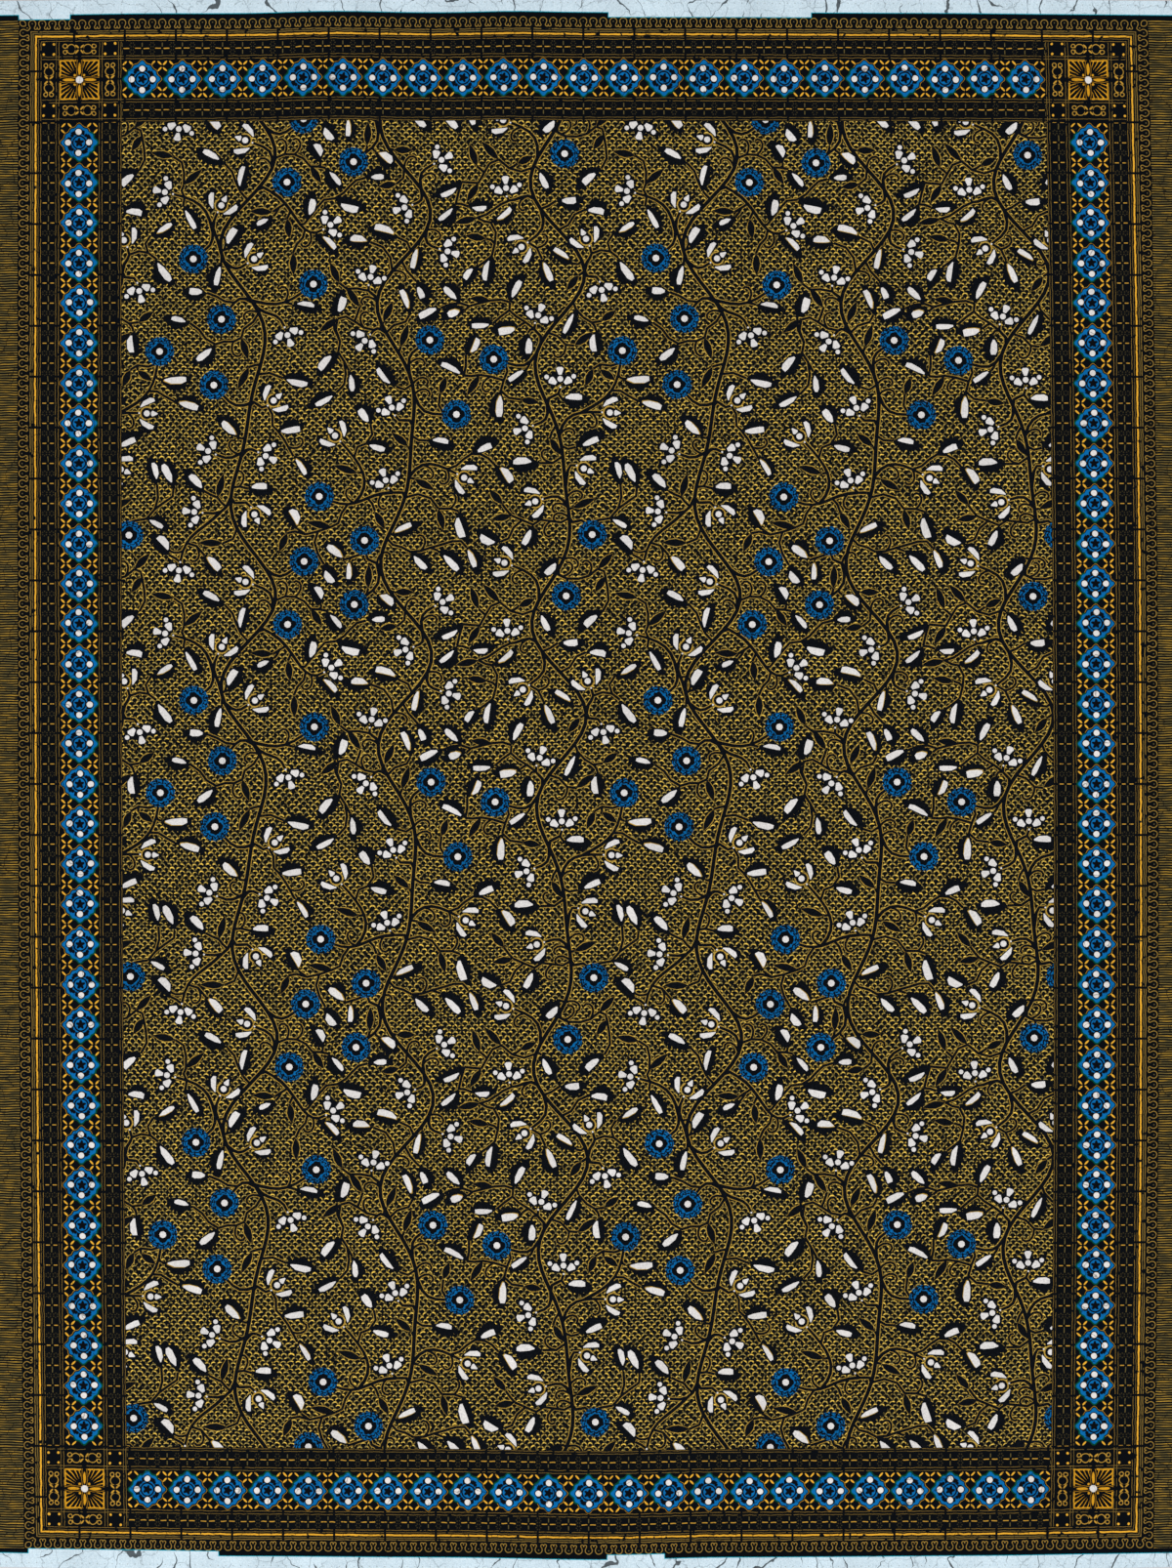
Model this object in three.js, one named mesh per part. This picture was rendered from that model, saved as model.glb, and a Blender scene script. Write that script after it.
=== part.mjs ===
// Wax print fabric: one panel of printed plain-weave cotton, cut a yard long from the bolt and laid
// flat. It lies across its full woven width, so it has a selvedge along each long side of the bolt.
//
// Millimetres, +Z up. The origin is on the table under the middle of the panel, +X runs along the
// selvedges and +Y across the width. The panel rests on its underside, which is flat at Z = 0 but
// where a ripple lifts the cloth.

import * as THREE from 'three';

// Driving dimensions.
const PANEL_LENGTH = 922; // one yard and a cutting allowance of a few millimetres, along the bolt
const PANEL_WIDTH = 1222; // across the bolt, from the outside of one selvedge to the other
const SELVEDGE_WIDTH = 10; // the unprinted self-edge on each side
const CLOTH_WALL = 1.2; // thickness of the cloth wall
const SELVEDGE_WALL = 1.4; // the self-edge is woven denser and stands a little thicker
const SEAM_GAP = 0.3; // between the cloth and a selvedge

// How the cloth was smoothed out by hand: each side bows out at its middle, and the two cut ends
// lean, so that the end of positive Y lies LEAN further back along X, and the other LEAN forward.
const BOW = { left: 2.8, right: 6.6, bottom: 4.0, top: 2.4 };
const LEAN = 2.2;

// Places where the hand pushed a side out. U and V are on the flat cut, REACH is how far the push is
// felt on each side along U, and PUSH moves the cloth along Y. It fades out to the middle of the
// panel.
const PUSHES = [
  { u: -198, v: 611, reach: 70, push: 1.4 },
  { u: -60, v: 611, reach: 55, push: 0.8 },
  { u: 0, v: -611, reach: 110, push: -1.4 },
];

// Long soft ripples where the cloth stands off the table. U and V are the middle of the ripple on the
// flat cut, LENGTH and WIDTH its reach along and across, LIFT its height and TURN its bearing in
// degrees from +X.
const RIPPLES = [
  { u: -343, v: 611, length: 420, width: 130, lift: 3.4, turn: 80 },
  { u: -150, v: 611, length: 300, width: 100, lift: 2.4, turn: 97 },
  { u: -30, v: 611, length: 380, width: 120, lift: 3.0, turn: 88 },
  { u: 285, v: 611, length: 280, width: 140, lift: 2.0, turn: 102 },
  { u: 461, v: 165, length: 380, width: 170, lift: 4.2, turn: 6 },
  { u: 461, v: -270, length: 300, width: 130, lift: 3.0, turn: -9 },
  { u: 25, v: -611, length: 360, width: 150, lift: 3.6, turn: 92 },
  { u: -290, v: -611, length: 270, width: 110, lift: 2.2, turn: 83 },
  { u: 330, v: -611, length: 240, width: 120, lift: 2.6, turn: 99 },
  { u: -461, v: -120, length: 300, width: 140, lift: 2.8, turn: 174 },
  { u: -461, v: 300, length: 240, width: 120, lift: 2.2, turn: 8 },
  { u: 140, v: 70, length: 720, width: 110, lift: 1.8, turn: 63 },
  { u: -210, v: -290, length: 540, width: 100, lift: 1.5, turn: 118 },
];

// The walls are laid out on a grid of cells about this long, which follows the ripples.
const CELL = 24;

const HALF_LENGTH = PANEL_LENGTH / 2;
const HALF_WIDTH = PANEL_WIDTH / 2;
const PRINT_EDGE = HALF_WIDTH - SELVEDGE_WIDTH; // where cloth and selvedge meet
const LENGTH_CELLS = Math.round(PANEL_LENGTH / CELL);

// A smooth hump of height 1 in the middle, which is flat at 0 from a distance of 1.
const hump = (distance) => {
  const d = Math.min(Math.abs(distance), 1);
  return Math.cos((d * Math.PI) / 2) ** 2;
};

// Height of the underside over the table at a point of the flat cut.
function liftAt(u, v) {
  let lift = 0;
  for (const ripple of RIPPLES) {
    const turn = THREE.MathUtils.degToRad(ripple.turn);
    const du = u - ripple.u;
    const dv = v - ripple.v;
    const along = du * Math.cos(turn) + dv * Math.sin(turn);
    const across = dv * Math.cos(turn) - du * Math.sin(turn);
    lift += ripple.lift * hump((2 * along) / ripple.length) * hump((2 * across) / ripple.width);
  }
  return lift;
}

// Where a point of the flat cut lies on the table, before the panel is centred.
function layAt(u, v) {
  const s = u / HALF_LENGTH;
  const t = v / HALF_WIDTH;
  let x = u - LEAN * t + s * (s > 0 ? BOW.right : BOW.left) * (1 - t * t);
  let y = v + t * (t > 0 ? BOW.top : BOW.bottom) * (1 - s * s);
  for (const { u: at, v: side, reach, push } of PUSHES) {
    y += push * hump((u - at) / reach) * Math.max(0, v / side);
  }
  return [x, y];
}

// Stations from one end to the other in even steps.
function stations(from, to, count) {
  return Array.from({ length: count + 1 }, (_, i) => from + ((to - from) * i) / count);
}

// Middle of the laid panel's outline, which is put on the origin.
function panelMiddle() {
  const box = new THREE.Box2();
  for (const s of stations(-1, 1, LENGTH_CELLS)) {
    for (const t of stations(-1, 1, LENGTH_CELLS)) {
      if (Math.abs(s) < 1 && Math.abs(t) < 1) continue;
      box.expandByPoint(new THREE.Vector2(...layAt(s * HALF_LENGTH, t * HALF_WIDTH)));
    }
  }
  return box.getCenter(new THREE.Vector2());
}

const MIDDLE = panelMiddle();

// A closed wall over the stretch of the flat cut between the given V stations: an underside that
// follows the lay of the cloth, a top side one wall higher and a rim around the four edges.
function clothWall(vFrom, vTo, vCells, thickness) {
  const us = stations(-HALF_LENGTH, HALF_LENGTH, LENGTH_CELLS);
  const vs = stations(vFrom, vTo, vCells);
  const positions = [];
  for (const height of [0, thickness]) {
    for (const v of vs) {
      for (const u of us) {
        const [x, y] = layAt(u, v);
        positions.push(x - MIDDLE.x, y - MIDDLE.y, liftAt(u, v) + height);
      }
    }
  }

  const row = us.length;
  const side = row * vs.length;
  const faces = [];
  const quad = (a, b, c, d) => faces.push(a, b, c, a, c, d);
  for (let j = 0; j < vs.length - 1; j++) {
    for (let i = 0; i < row - 1; i++) {
      const corner = j * row + i;
      quad(corner, corner + row, corner + row + 1, corner + 1);
      quad(side + corner, side + corner + 1, side + corner + row + 1, side + corner + row);
    }
  }
  for (let i = 0; i < row - 1; i++) {
    const last = (vs.length - 1) * row + i;
    quad(i, i + 1, side + i + 1, side + i);
    quad(last + 1, last, side + last, side + last + 1);
  }
  for (let j = 0; j < vs.length - 1; j++) {
    const left = j * row;
    const right = left + row - 1;
    quad(left + row, left, side + left, side + left + row);
    quad(right, right + row, side + right + row, side + right);
  }

  const geometry = new THREE.BufferGeometry();
  geometry.setAttribute('position', new THREE.Float32BufferAttribute(positions, 3));
  geometry.setIndex(faces);
  geometry.computeVertexNormals();
  return geometry;
}

const printedCotton = new THREE.MeshStandardMaterial({
  color: 0x504730,
  roughness: 0.78,
  metalness: 0,
});
const selvedgeCotton = new THREE.MeshStandardMaterial({
  color: 0xcdd9de,
  roughness: 0.85,
  metalness: 0,
});

function named(name, geometry, material) {
  const mesh = new THREE.Mesh(geometry, material);
  mesh.name = name;
  return mesh;
}

// The printed cloth, from one selvedge to the other.
const clothEdge = PRINT_EDGE - SEAM_GAP / 2;
const clothCells = Math.round((2 * clothEdge) / CELL);
const cloth = clothWall(-clothEdge, clothEdge, clothCells, CLOTH_WALL);

// The two self-edges. Each is one cell wide.
const selvedgeEdge = PRINT_EDGE + SEAM_GAP / 2;
const selvedgeTop = clothWall(selvedgeEdge, HALF_WIDTH, 1, SELVEDGE_WALL);
const selvedgeBottom = clothWall(-HALF_WIDTH, -selvedgeEdge, 1, SELVEDGE_WALL);

const panel = new THREE.Group();
panel.add(named('cloth', cloth, printedCotton));
panel.add(named('selvedge_top', selvedgeTop, selvedgeCotton));
panel.add(named('selvedge_bottom', selvedgeBottom, selvedgeCotton.clone()));

export default panel;
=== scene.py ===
"""Dress the wax print panel: printed cotton, its two self-edges, and the studio it lies in.

The cloth is one sheet. Everything that is printed on it is drawn on the flat cut, in millimetres: U runs
along the selvedges and V across the width, both from the middle. The lay of the cloth then carries each
point of the flat cut to its place on the table, so that the print follows the cloth.
"""

from __future__ import annotations

import logging
import math
import random
from dataclasses import dataclass, field
from enum import Enum, IntEnum

import bmesh
import bpy
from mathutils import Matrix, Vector
from mathutils.geometry import delaunay_2d_cdt

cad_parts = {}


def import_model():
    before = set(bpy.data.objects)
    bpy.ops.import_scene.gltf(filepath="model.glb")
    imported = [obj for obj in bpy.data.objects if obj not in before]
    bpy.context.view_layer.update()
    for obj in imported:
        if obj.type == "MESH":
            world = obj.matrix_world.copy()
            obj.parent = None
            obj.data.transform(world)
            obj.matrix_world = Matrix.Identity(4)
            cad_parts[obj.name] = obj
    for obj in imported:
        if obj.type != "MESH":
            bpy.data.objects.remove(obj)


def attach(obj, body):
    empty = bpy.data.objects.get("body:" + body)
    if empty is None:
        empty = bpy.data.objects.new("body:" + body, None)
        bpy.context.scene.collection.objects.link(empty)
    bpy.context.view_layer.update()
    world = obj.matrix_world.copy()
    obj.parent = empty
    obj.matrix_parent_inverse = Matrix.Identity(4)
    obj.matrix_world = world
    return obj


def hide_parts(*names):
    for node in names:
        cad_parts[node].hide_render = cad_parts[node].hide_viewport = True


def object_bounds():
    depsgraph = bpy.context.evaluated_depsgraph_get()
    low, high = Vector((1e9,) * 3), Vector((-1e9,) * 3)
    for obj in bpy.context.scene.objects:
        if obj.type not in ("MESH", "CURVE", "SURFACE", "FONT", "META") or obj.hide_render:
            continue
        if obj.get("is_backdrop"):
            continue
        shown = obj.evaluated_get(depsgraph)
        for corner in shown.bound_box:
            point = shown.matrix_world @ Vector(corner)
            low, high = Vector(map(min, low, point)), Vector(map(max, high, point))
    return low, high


LOG = logging.getLogger("wax_print")
MM = 0.001
CUT = "cut"  # the attribute that holds each point's place on the flat cut, in millimetres
MOTIF = "motif"  # the attribute that holds a point's place from the middle of its flower
BAKE_MAP = "OFBake"

VECTOR, FLOAT, COLOUR = "NodeSocketVector", "NodeSocketFloat", "NodeSocketColor"

Point = tuple[float, float]
Dye = tuple[float, float, float, float]
Colour = bpy.types.NodeSocket | Dye


def srgb(red: int, green: int, blue: int) -> Dye:
    """Turn a colour of a print chart into the linear colour that shaders take.

    Args:
        red: Red, from 0 to 255.
        green: Green, from 0 to 255.
        blue: Blue, from 0 to 255.

    Returns:
        The linear colour with an alpha of 1.
    """
    channels = [c / 255 for c in (red, green, blue)]
    linear = [c / 12.92 if c <= 0.04045 else ((c + 0.055) / 1.055) ** 2.4 for c in channels]
    return (*linear, 1.0)


# --------------------------------------------------------------------------------------------------
# The cloth's cut and how it lies
# --------------------------------------------------------------------------------------------------


def hump(distance: float) -> float:
    """Height of a smooth hump: 1 in the middle and 0 from a distance of 1 on."""
    return math.cos(min(abs(distance), 1.0) * math.pi / 2) ** 2


@dataclass(frozen=True)
class Push:
    """A place where a hand pushed a side of the cloth out, in millimetres."""

    u: float
    v: float
    reach: float
    push: float


@dataclass(frozen=True)
class Ripple:
    """A long soft ripple that stands off the table, in millimetres, with its bearing in degrees."""

    u: float
    v: float
    length: float
    width: float
    lift: float
    turn: float

    def height(self, u: float, v: float) -> float:
        """Height of this ripple over a point of the flat cut."""
        turn = math.radians(self.turn)
        du, dv = u - self.u, v - self.v
        along = du * math.cos(turn) + dv * math.sin(turn)
        across = dv * math.cos(turn) - du * math.sin(turn)
        if abs(2 * along) > self.length or abs(2 * across) > self.width:
            return 0.0
        return self.lift * hump(2 * along / self.length) * hump(2 * across / self.width)


@dataclass(frozen=True)
class Lay:
    """The flat cut and how it lies on the table, in millimetres, as its solid has it."""

    length: float = 922.0
    width: float = 1222.0
    selvedge: float = 10.0
    cell: float = 24.0
    bow_left: float = 2.8
    bow_right: float = 6.6
    bow_bottom: float = 4.0
    bow_top: float = 2.4
    lean: float = 2.2
    pushes: tuple[Push, ...] = (
        Push(-198, 611, 70, 1.4),
        Push(-60, 611, 55, 0.8),
        Push(0, -611, 110, -1.4),
    )
    ripples: tuple[Ripple, ...] = (
        Ripple(-343, 611, 420, 130, 3.4, 80),
        Ripple(-150, 611, 300, 100, 2.4, 97),
        Ripple(-30, 611, 380, 120, 3.0, 88),
        Ripple(285, 611, 280, 140, 2.0, 102),
        Ripple(461, 165, 380, 170, 4.2, 6),
        Ripple(461, -270, 300, 130, 3.0, -9),
        Ripple(25, -611, 360, 150, 3.6, 92),
        Ripple(-290, -611, 270, 110, 2.2, 83),
        Ripple(330, -611, 240, 120, 2.6, 99),
        Ripple(-461, -120, 300, 140, 2.8, 174),
        Ripple(-461, 300, 240, 120, 2.2, 8),
        Ripple(140, 70, 720, 110, 1.8, 63),
        Ripple(-210, -290, 540, 100, 1.5, 118),
    )

    @property
    def half_length(self) -> float:
        """Half the cut's length along the bolt."""
        return self.length / 2

    @property
    def half_width(self) -> float:
        """Half the woven width."""
        return self.width / 2

    @property
    def print_edge(self) -> float:
        """Where the printed cloth ends and a selvedge starts."""
        return self.half_width - self.selvedge

    def spread(self, u: float, v: float) -> Point:
        """Where a point of the flat cut lies, before the panel is centred."""
        s, t = u / self.half_length, v / self.half_width
        bow_x = self.bow_right if s > 0 else self.bow_left
        bow_y = self.bow_top if t > 0 else self.bow_bottom
        x = u - self.lean * t + s * bow_x * (1 - t * t)
        y = v + t * bow_y * (1 - s * s)
        for push in self.pushes:
            y += push.push * hump((u - push.u) / push.reach) * max(0.0, v / push.v)
        return x, y

    def middle(self) -> Point:
        """Middle of the outline of the spread panel, which is put on the origin."""
        count = round(self.length / self.cell)
        steps = [2 * i / count - 1 for i in range(count + 1)]
        rim = [(s, t) for s in steps for t in steps if abs(s) == 1 or abs(t) == 1]
        laid = [self.spread(s * self.half_length, t * self.half_width) for s, t in rim]
        xs, ys = zip(*laid)
        return (min(xs) + max(xs)) / 2, (min(ys) + max(ys)) / 2

    def lift(self, u: float, v: float) -> float:
        """Height of the cloth's underside over the table."""
        return sum(ripple.height(u, v) for ripple in self.ripples)

    def place(self, u: float, v: float, rise: float, middle: Point) -> Vector:
        """Place of a point of the cloth in metres.

        Args:
            u: Along the selvedges on the flat cut.
            v: Across the width on the flat cut.
            rise: Height over the underside.
            middle: What middle() gives.

        Returns:
            The point in the row frame.
        """
        x, y = self.spread(u, v)
        return Vector((x - middle[0], y - middle[1], self.lift(u, v) + rise)) * MM

    def facing(self, u: float, v: float) -> Vector:
        """Direction that the cloth's face looks in at a point of the flat cut."""
        step = 1.0
        rise_u = self.lift(u + step, v) - self.lift(u - step, v)
        rise_v = self.lift(u, v + step) - self.lift(u, v - step)
        return Vector((-rise_u, -rise_v, 2 * step)).normalized()


# --------------------------------------------------------------------------------------------------
# Shapes of the print
# --------------------------------------------------------------------------------------------------


class Ink(IntEnum):
    """What a stretch of the cloth is printed with. The number is its material slot on the cloth."""

    SCALES = 0
    NAVY = 1
    OCHRE = 2
    WHITE = 3
    FLOWER = 4
    BORDER = 5
    CORNER = 6
    ENDS = 7
    BACK = 8
    FRINGE = 9
    MARGIN = 10


class Layer(IntEnum):
    """Order in which shapes lie over each other, from the lowest."""

    GROUND = 0
    HALO = 1
    STEM = 2
    LEAF = 3
    HEART = 4
    BLOOM = 5
    EYE = 6
    ZONE = 7
    FRINGE = 8
    MARGIN = 9


@dataclass(frozen=True)
class Shape:
    """A closed outline on the flat cut, its ink and its layer."""

    outline: tuple[Point, ...]
    ink: Ink
    layer: Layer
    middle: Point = (0.0, 0.0)

    def moved(self, at: Point, turn: float = 0.0, mirror: float = 1.0) -> Shape:
        """Turn this shape about its origin and move it.

        Args:
            at: Where its origin goes.
            turn: How far it turns, in radians.
            mirror: -1 mirrors it first, across its own length.

        Returns:
            The moved shape.
        """
        cos, sin = math.cos(turn), math.sin(turn)

        def carry(point: Point) -> Point:
            """Carry one point along."""
            x, y = point[0], point[1] * mirror
            return at[0] + x * cos - y * sin, at[1] + x * sin + y * cos

        return Shape(tuple(map(carry, self.outline)), self.ink, self.layer, carry(self.middle))

    def loop(self) -> tuple[Point, ...]:
        """Its outline in counter-clockwise order."""
        ends = self.outline[1:] + self.outline[:1]
        area = sum(a[0] * b[1] - b[0] * a[1] for a, b in zip(self.outline, ends))
        return self.outline if area > 0 else self.outline[::-1]

    def shifted(self, du: float, dv: float) -> Shape:
        """This shape, moved on the flat cut without turning it."""
        outline = tuple((u + du, v + dv) for u, v in self.outline)
        return Shape(outline, self.ink, self.layer, (self.middle[0] + du, self.middle[1] + dv))


def rectangle(low: Point, high: Point, ink: Ink, layer: Layer, step: float = 16.0) -> Shape:
    """A rectangle whose edges have points in even steps, so that they can follow the ripples.

    Args:
        low: Its lower left corner.
        high: Its upper right corner.
        ink: Its ink.
        layer: Its layer.
        step: About how far apart its points are.

    Returns:
        The shape.
    """
    corners = (low, (high[0], low[1]), high, (low[0], high[1]))
    outline: list[Point] = []
    for start, end in zip(corners, corners[1:] + corners[:1]):
        count = max(1, round(math.dist(start, end) / step))
        for i in range(count):
            share = i / count
            outline.append(tuple(a + share * (b - a) for a, b in zip(start, end)))
    return Shape(tuple(outline), ink, layer)


def disc(radius: float, points: int, ink: Ink, layer: Layer, at: Point = (0.0, 0.0)) -> Shape:
    """A round spot, as a shape."""
    turns = [2 * math.pi * i / points for i in range(points)]
    outline = tuple((at[0] + radius * math.cos(t), at[1] + radius * math.sin(t)) for t in turns)
    return Shape(outline, ink, layer, at)


def wedge(start: float, end: float, narrow: float, wide: float, ink: Ink, layer: Layer) -> Shape:
    """A seed shape along +X, narrow at its start and round at its wide end.

    Args:
        start: Where it starts along X.
        end: Where it ends.
        narrow: Half its width at the start.
        wide: Half its width near the end.
        ink: Its ink.
        layer: Its layer.

    Returns:
        The shape.
    """
    reach = end - start
    upper = [
        (start, narrow),
        (start + 0.5 * reach, 0.5 * (narrow + wide) + 0.1 * wide),
        (start + 0.8 * reach, wide),
        (end, 0.55 * wide),
    ]
    lower = [(x, -y) for x, y in reversed(upper)]
    return Shape(tuple(upper + lower), ink, layer)


def ribbon(path: list[Point], widths: list[float], ink: Ink, layer: Layer) -> list[Shape]:
    """A stroke along a path, as a chain of four-sided shapes.

    Args:
        path: Points of the stroke's middle line.
        widths: Half its width at each point.
        ink: Its ink.
        layer: Its layer.

    Returns:
        One shape for each stretch between two points.
    """
    left, right = [], []
    for i, (x, y) in enumerate(path):
        before, after = path[max(i - 1, 0)], path[min(i + 1, len(path) - 1)]
        dx, dy = after[0] - before[0], after[1] - before[1]
        reach = math.hypot(dx, dy) or 1.0
        nx, ny = -dy / reach * widths[i], dx / reach * widths[i]
        left.append((x + nx, y + ny))
        right.append((x - nx, y - ny))
    stretches = range(len(path) - 1)
    return [Shape((right[i], right[i + 1], left[i + 1], left[i]), ink, layer) for i in stretches]


def bezier(p0: Point, p1: Point, p2: Point, p3: Point, count: int) -> list[Point]:
    """Points along a cubic curve from p0 to p3."""
    path = []
    for i in range(count + 1):
        t = i / count
        a, b, c, d = (1 - t) ** 3, 3 * t * (1 - t) ** 2, 3 * t * t * (1 - t), t**3
        x = a * p0[0] + b * p1[0] + c * p2[0] + d * p3[0]
        y = a * p0[1] + b * p1[1] + c * p2[1] + d * p3[1]
        path.append((x, y))
    return path


@dataclass(frozen=True)
class Leaf:
    """A bowed leaf along +X: an undyed half on a dark one, which has a bristly edge."""

    length: float = 24.0
    bow: float = 2.0
    body: float = 2.3
    dark: float = 4.6
    bristle: float = 2.6
    bristles: int = 6
    edge: float = 1.1
    start: float = 0.19
    stop: float = 0.8
    blunt: float = 0.3
    lining: float = 0.0

    def centre(self, t: float) -> Point:
        """A point of its middle line, at a share t of its length."""
        return t * self.length, self.bow * math.sin(math.pi * t)

    def side(self, steps: int, depth: float, power: float) -> list[Point]:
        """Points beside the middle line, from its start to its end.

        Args:
            steps: Number of stretches that they part it into.
            depth: How far the farthest lies from it, less than 0 below it.
            power: How full the side is near the ends; less is fuller.

        Returns:
            The points between the two ends.
        """
        points = []
        for i in range(1, steps):
            x, y = self.centre(i / steps)
            points.append((x, y + depth * math.sin(math.pi * i / steps) ** power))
        return points

    def white(self) -> tuple[Point, ...]:
        """The outline of the undyed half, cut slantwise at its outer end."""
        over, under = [], []
        root, tip = 0.1 + 0.4 * self.blunt, 0.1 + 0.8 * self.blunt
        # share of its length, and how much of its body lies above and below the middle line there
        halves = ((0.0, root, 0.15), (0.3, 0.95, 0.75), (0.78, 0.95, 1.0), (1.0, tip, 0.75))
        for share, above, below in halves:
            x, y = self.centre(self.start + share * (self.stop - self.start))
            over.append((x, y + above * self.body))
            under.append((x, y - below * self.body))
        return tuple(under + over[::-1])

    def shapes(self) -> list[Shape]:
        """The dark leaf and the undyed half on it."""
        ends = (self.centre(0.0), self.centre(1.0))
        deep = self.body + self.dark
        slant, notch = 1.1, 0.35
        lower = []
        for i, (x, y) in enumerate(self.side(2 * self.bristles, -deep, 0.7)):
            out = (i + 1) % 2
            lower.append((x + slant * out, y - self.bristle * (out - notch)))
        upper = self.side(4, self.body + self.edge, 0.5)
        shapes = [Shape((ends[0], *lower, ends[1], *reversed(upper)), Ink.NAVY, Layer.LEAF)]
        if self.lining:
            lined = tuple((x - self.lining, y - 0.5 * self.lining) for x, y in self.white())
            shapes.append(Shape(lined, Ink.OCHRE, Layer.HEART))
        return shapes + [Shape(self.white(), Ink.WHITE, Layer.HEART)]


@dataclass(frozen=True)
class Sprig:
    """A plain dark leaf along +X, with a bend in it."""

    length: float = 15.5
    half: float = 3.0
    bend: float = 1.4
    rim: float = 0.6

    def shapes(self) -> list[Shape]:
        """Its pale rim and the dark leaf on it."""
        steps = (0.2, 0.45, 0.7, 0.88)
        shapes = []
        for half, ink, layer in (
            (self.half + self.rim, Ink.OCHRE, Layer.HALO),
            (self.half, Ink.NAVY, Layer.LEAF),
        ):
            upper = [(t * self.length, half * math.sin(math.pi * t**0.8) + self.bend * t) for t in steps]
            lower = [(t * self.length, self.bend * t - half * math.sin(math.pi * t)) for t in steps]
            outline = ((0.0, 0.0), *lower, (self.length, self.bend), *reversed(upper))
            shapes.append(Shape(outline, ink, layer))
        return shapes


@dataclass(frozen=True)
class Daisy:
    """A round flower, which its finish draws, with an undyed eye."""

    radius: float = 11.3
    eye: float = 2.7

    def shapes(self) -> list[Shape]:
        """The flower and its eye."""
        return [
            disc(self.radius, 18, Ink.FLOWER, Layer.BLOOM),
            disc(self.eye, 8, Ink.WHITE, Layer.EYE),
        ]


@dataclass(frozen=True)
class Tulip:
    """A half-open flower that opens along +X: two bristly outer petals round a seeded bud."""

    petal: Leaf = Leaf(length=17.0, bow=-3.2, body=2.1, dark=2.8, bristles=5, edge=0.8, start=0.08)
    splay: float = 22.0
    spread: float = 3.6
    bud: float = 4.5
    bud_at: float = 6.2
    rim: float = 1.0
    seed: float = 2.45
    knot: float = 0.8
    crown: tuple[Point, ...] = (
        (9.0, 3.6), (13.0, 3.0), (15.0, 1.2), (17.2, 2.2), (17.4, 0.6), (20.0, 0.0),
    )

    def shapes(self) -> list[Shape]:
        """All its outlines."""
        shapes = []
        splay = math.radians(self.splay)
        for side in (1.0, -1.0):
            for shape in self.petal.shapes():
                shapes.append(shape.moved((0.0, side * self.spread), side * splay, -side))
        middle = (self.bud_at, 0.0)
        shapes.append(disc(self.bud + self.rim, 14, Ink.OCHRE, Layer.HEART, middle))
        shapes.append(disc(self.bud, 12, Ink.NAVY, Layer.BLOOM, middle))
        lower = tuple((x, -y) for x, y in reversed(self.crown[:-1]))
        shapes.append(Shape(self.crown + lower, Ink.NAVY, Layer.BLOOM))
        shapes.append(disc(self.seed, 9, Ink.WHITE, Layer.EYE, middle))
        shapes.append(wedge(14.6, 9.6, 0.4, 2.3, Ink.WHITE, Layer.EYE))
        shapes.append(disc(self.knot, 5, Ink.WHITE, Layer.EYE, (0.2, 0.0)))
        return shapes


@dataclass(frozen=True)
class Berries:
    """Three seeded pods that fan out along +X from one small knot."""

    fan: float = 54.0
    pod: float = 15.0
    half: float = 4.7
    start: float = 1.6
    tip: float = 2.0
    knot: float = 0.85

    def pod_shapes(self, round_outside: bool) -> list[Shape]:
        """One pod along +X.

        Args:
            round_outside: Whether the round seed lies outside the long one.

        Returns:
            Its outlines.
        """
        start, steps = self.start, (0.18, 0.5, 0.88)
        upper = [(start + t * self.pod, self.half * math.sin(math.pi * t) ** 0.6) for t in steps]
        lower = [(x, -y) for x, y in upper]
        outline = ((start, 0.0), *lower, (start + self.pod + self.tip, 0.3), *reversed(upper))
        shapes = [Shape(outline, Ink.NAVY, Layer.LEAF)]
        if round_outside:
            shapes.append(wedge(4.0, 10.2, 1.2, 3.0, Ink.WHITE, Layer.HEART))
            shapes.append(disc(1.9, 7, Ink.WHITE, Layer.HEART, (13.0, 0.0)))
        else:
            shapes.append(disc(2.35, 8, Ink.WHITE, Layer.HEART, (5.9, 0.0)))
            shapes.append(wedge(9.1, 15.2, 1.1, 2.9, Ink.WHITE, Layer.HEART))
        return shapes

    def shapes(self) -> list[Shape]:
        """All its outlines."""
        shapes = []
        for side in (-1, 0, 1):
            for shape in self.pod_shapes(side != 0):
                shapes.append(shape.moved((0.6, 0.0), math.radians(side * self.fan)))
        shapes.append(disc(self.knot, 5, Ink.WHITE, Layer.EYE))
        return shapes


# --------------------------------------------------------------------------------------------------
# The flowering vines of the middle field
# --------------------------------------------------------------------------------------------------


@dataclass(frozen=True)
class Spot:
    """A round spot that something takes up, with the bearing of the line that it lies on."""

    at: Point
    radius: float
    bearing: float = 0.0


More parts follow.
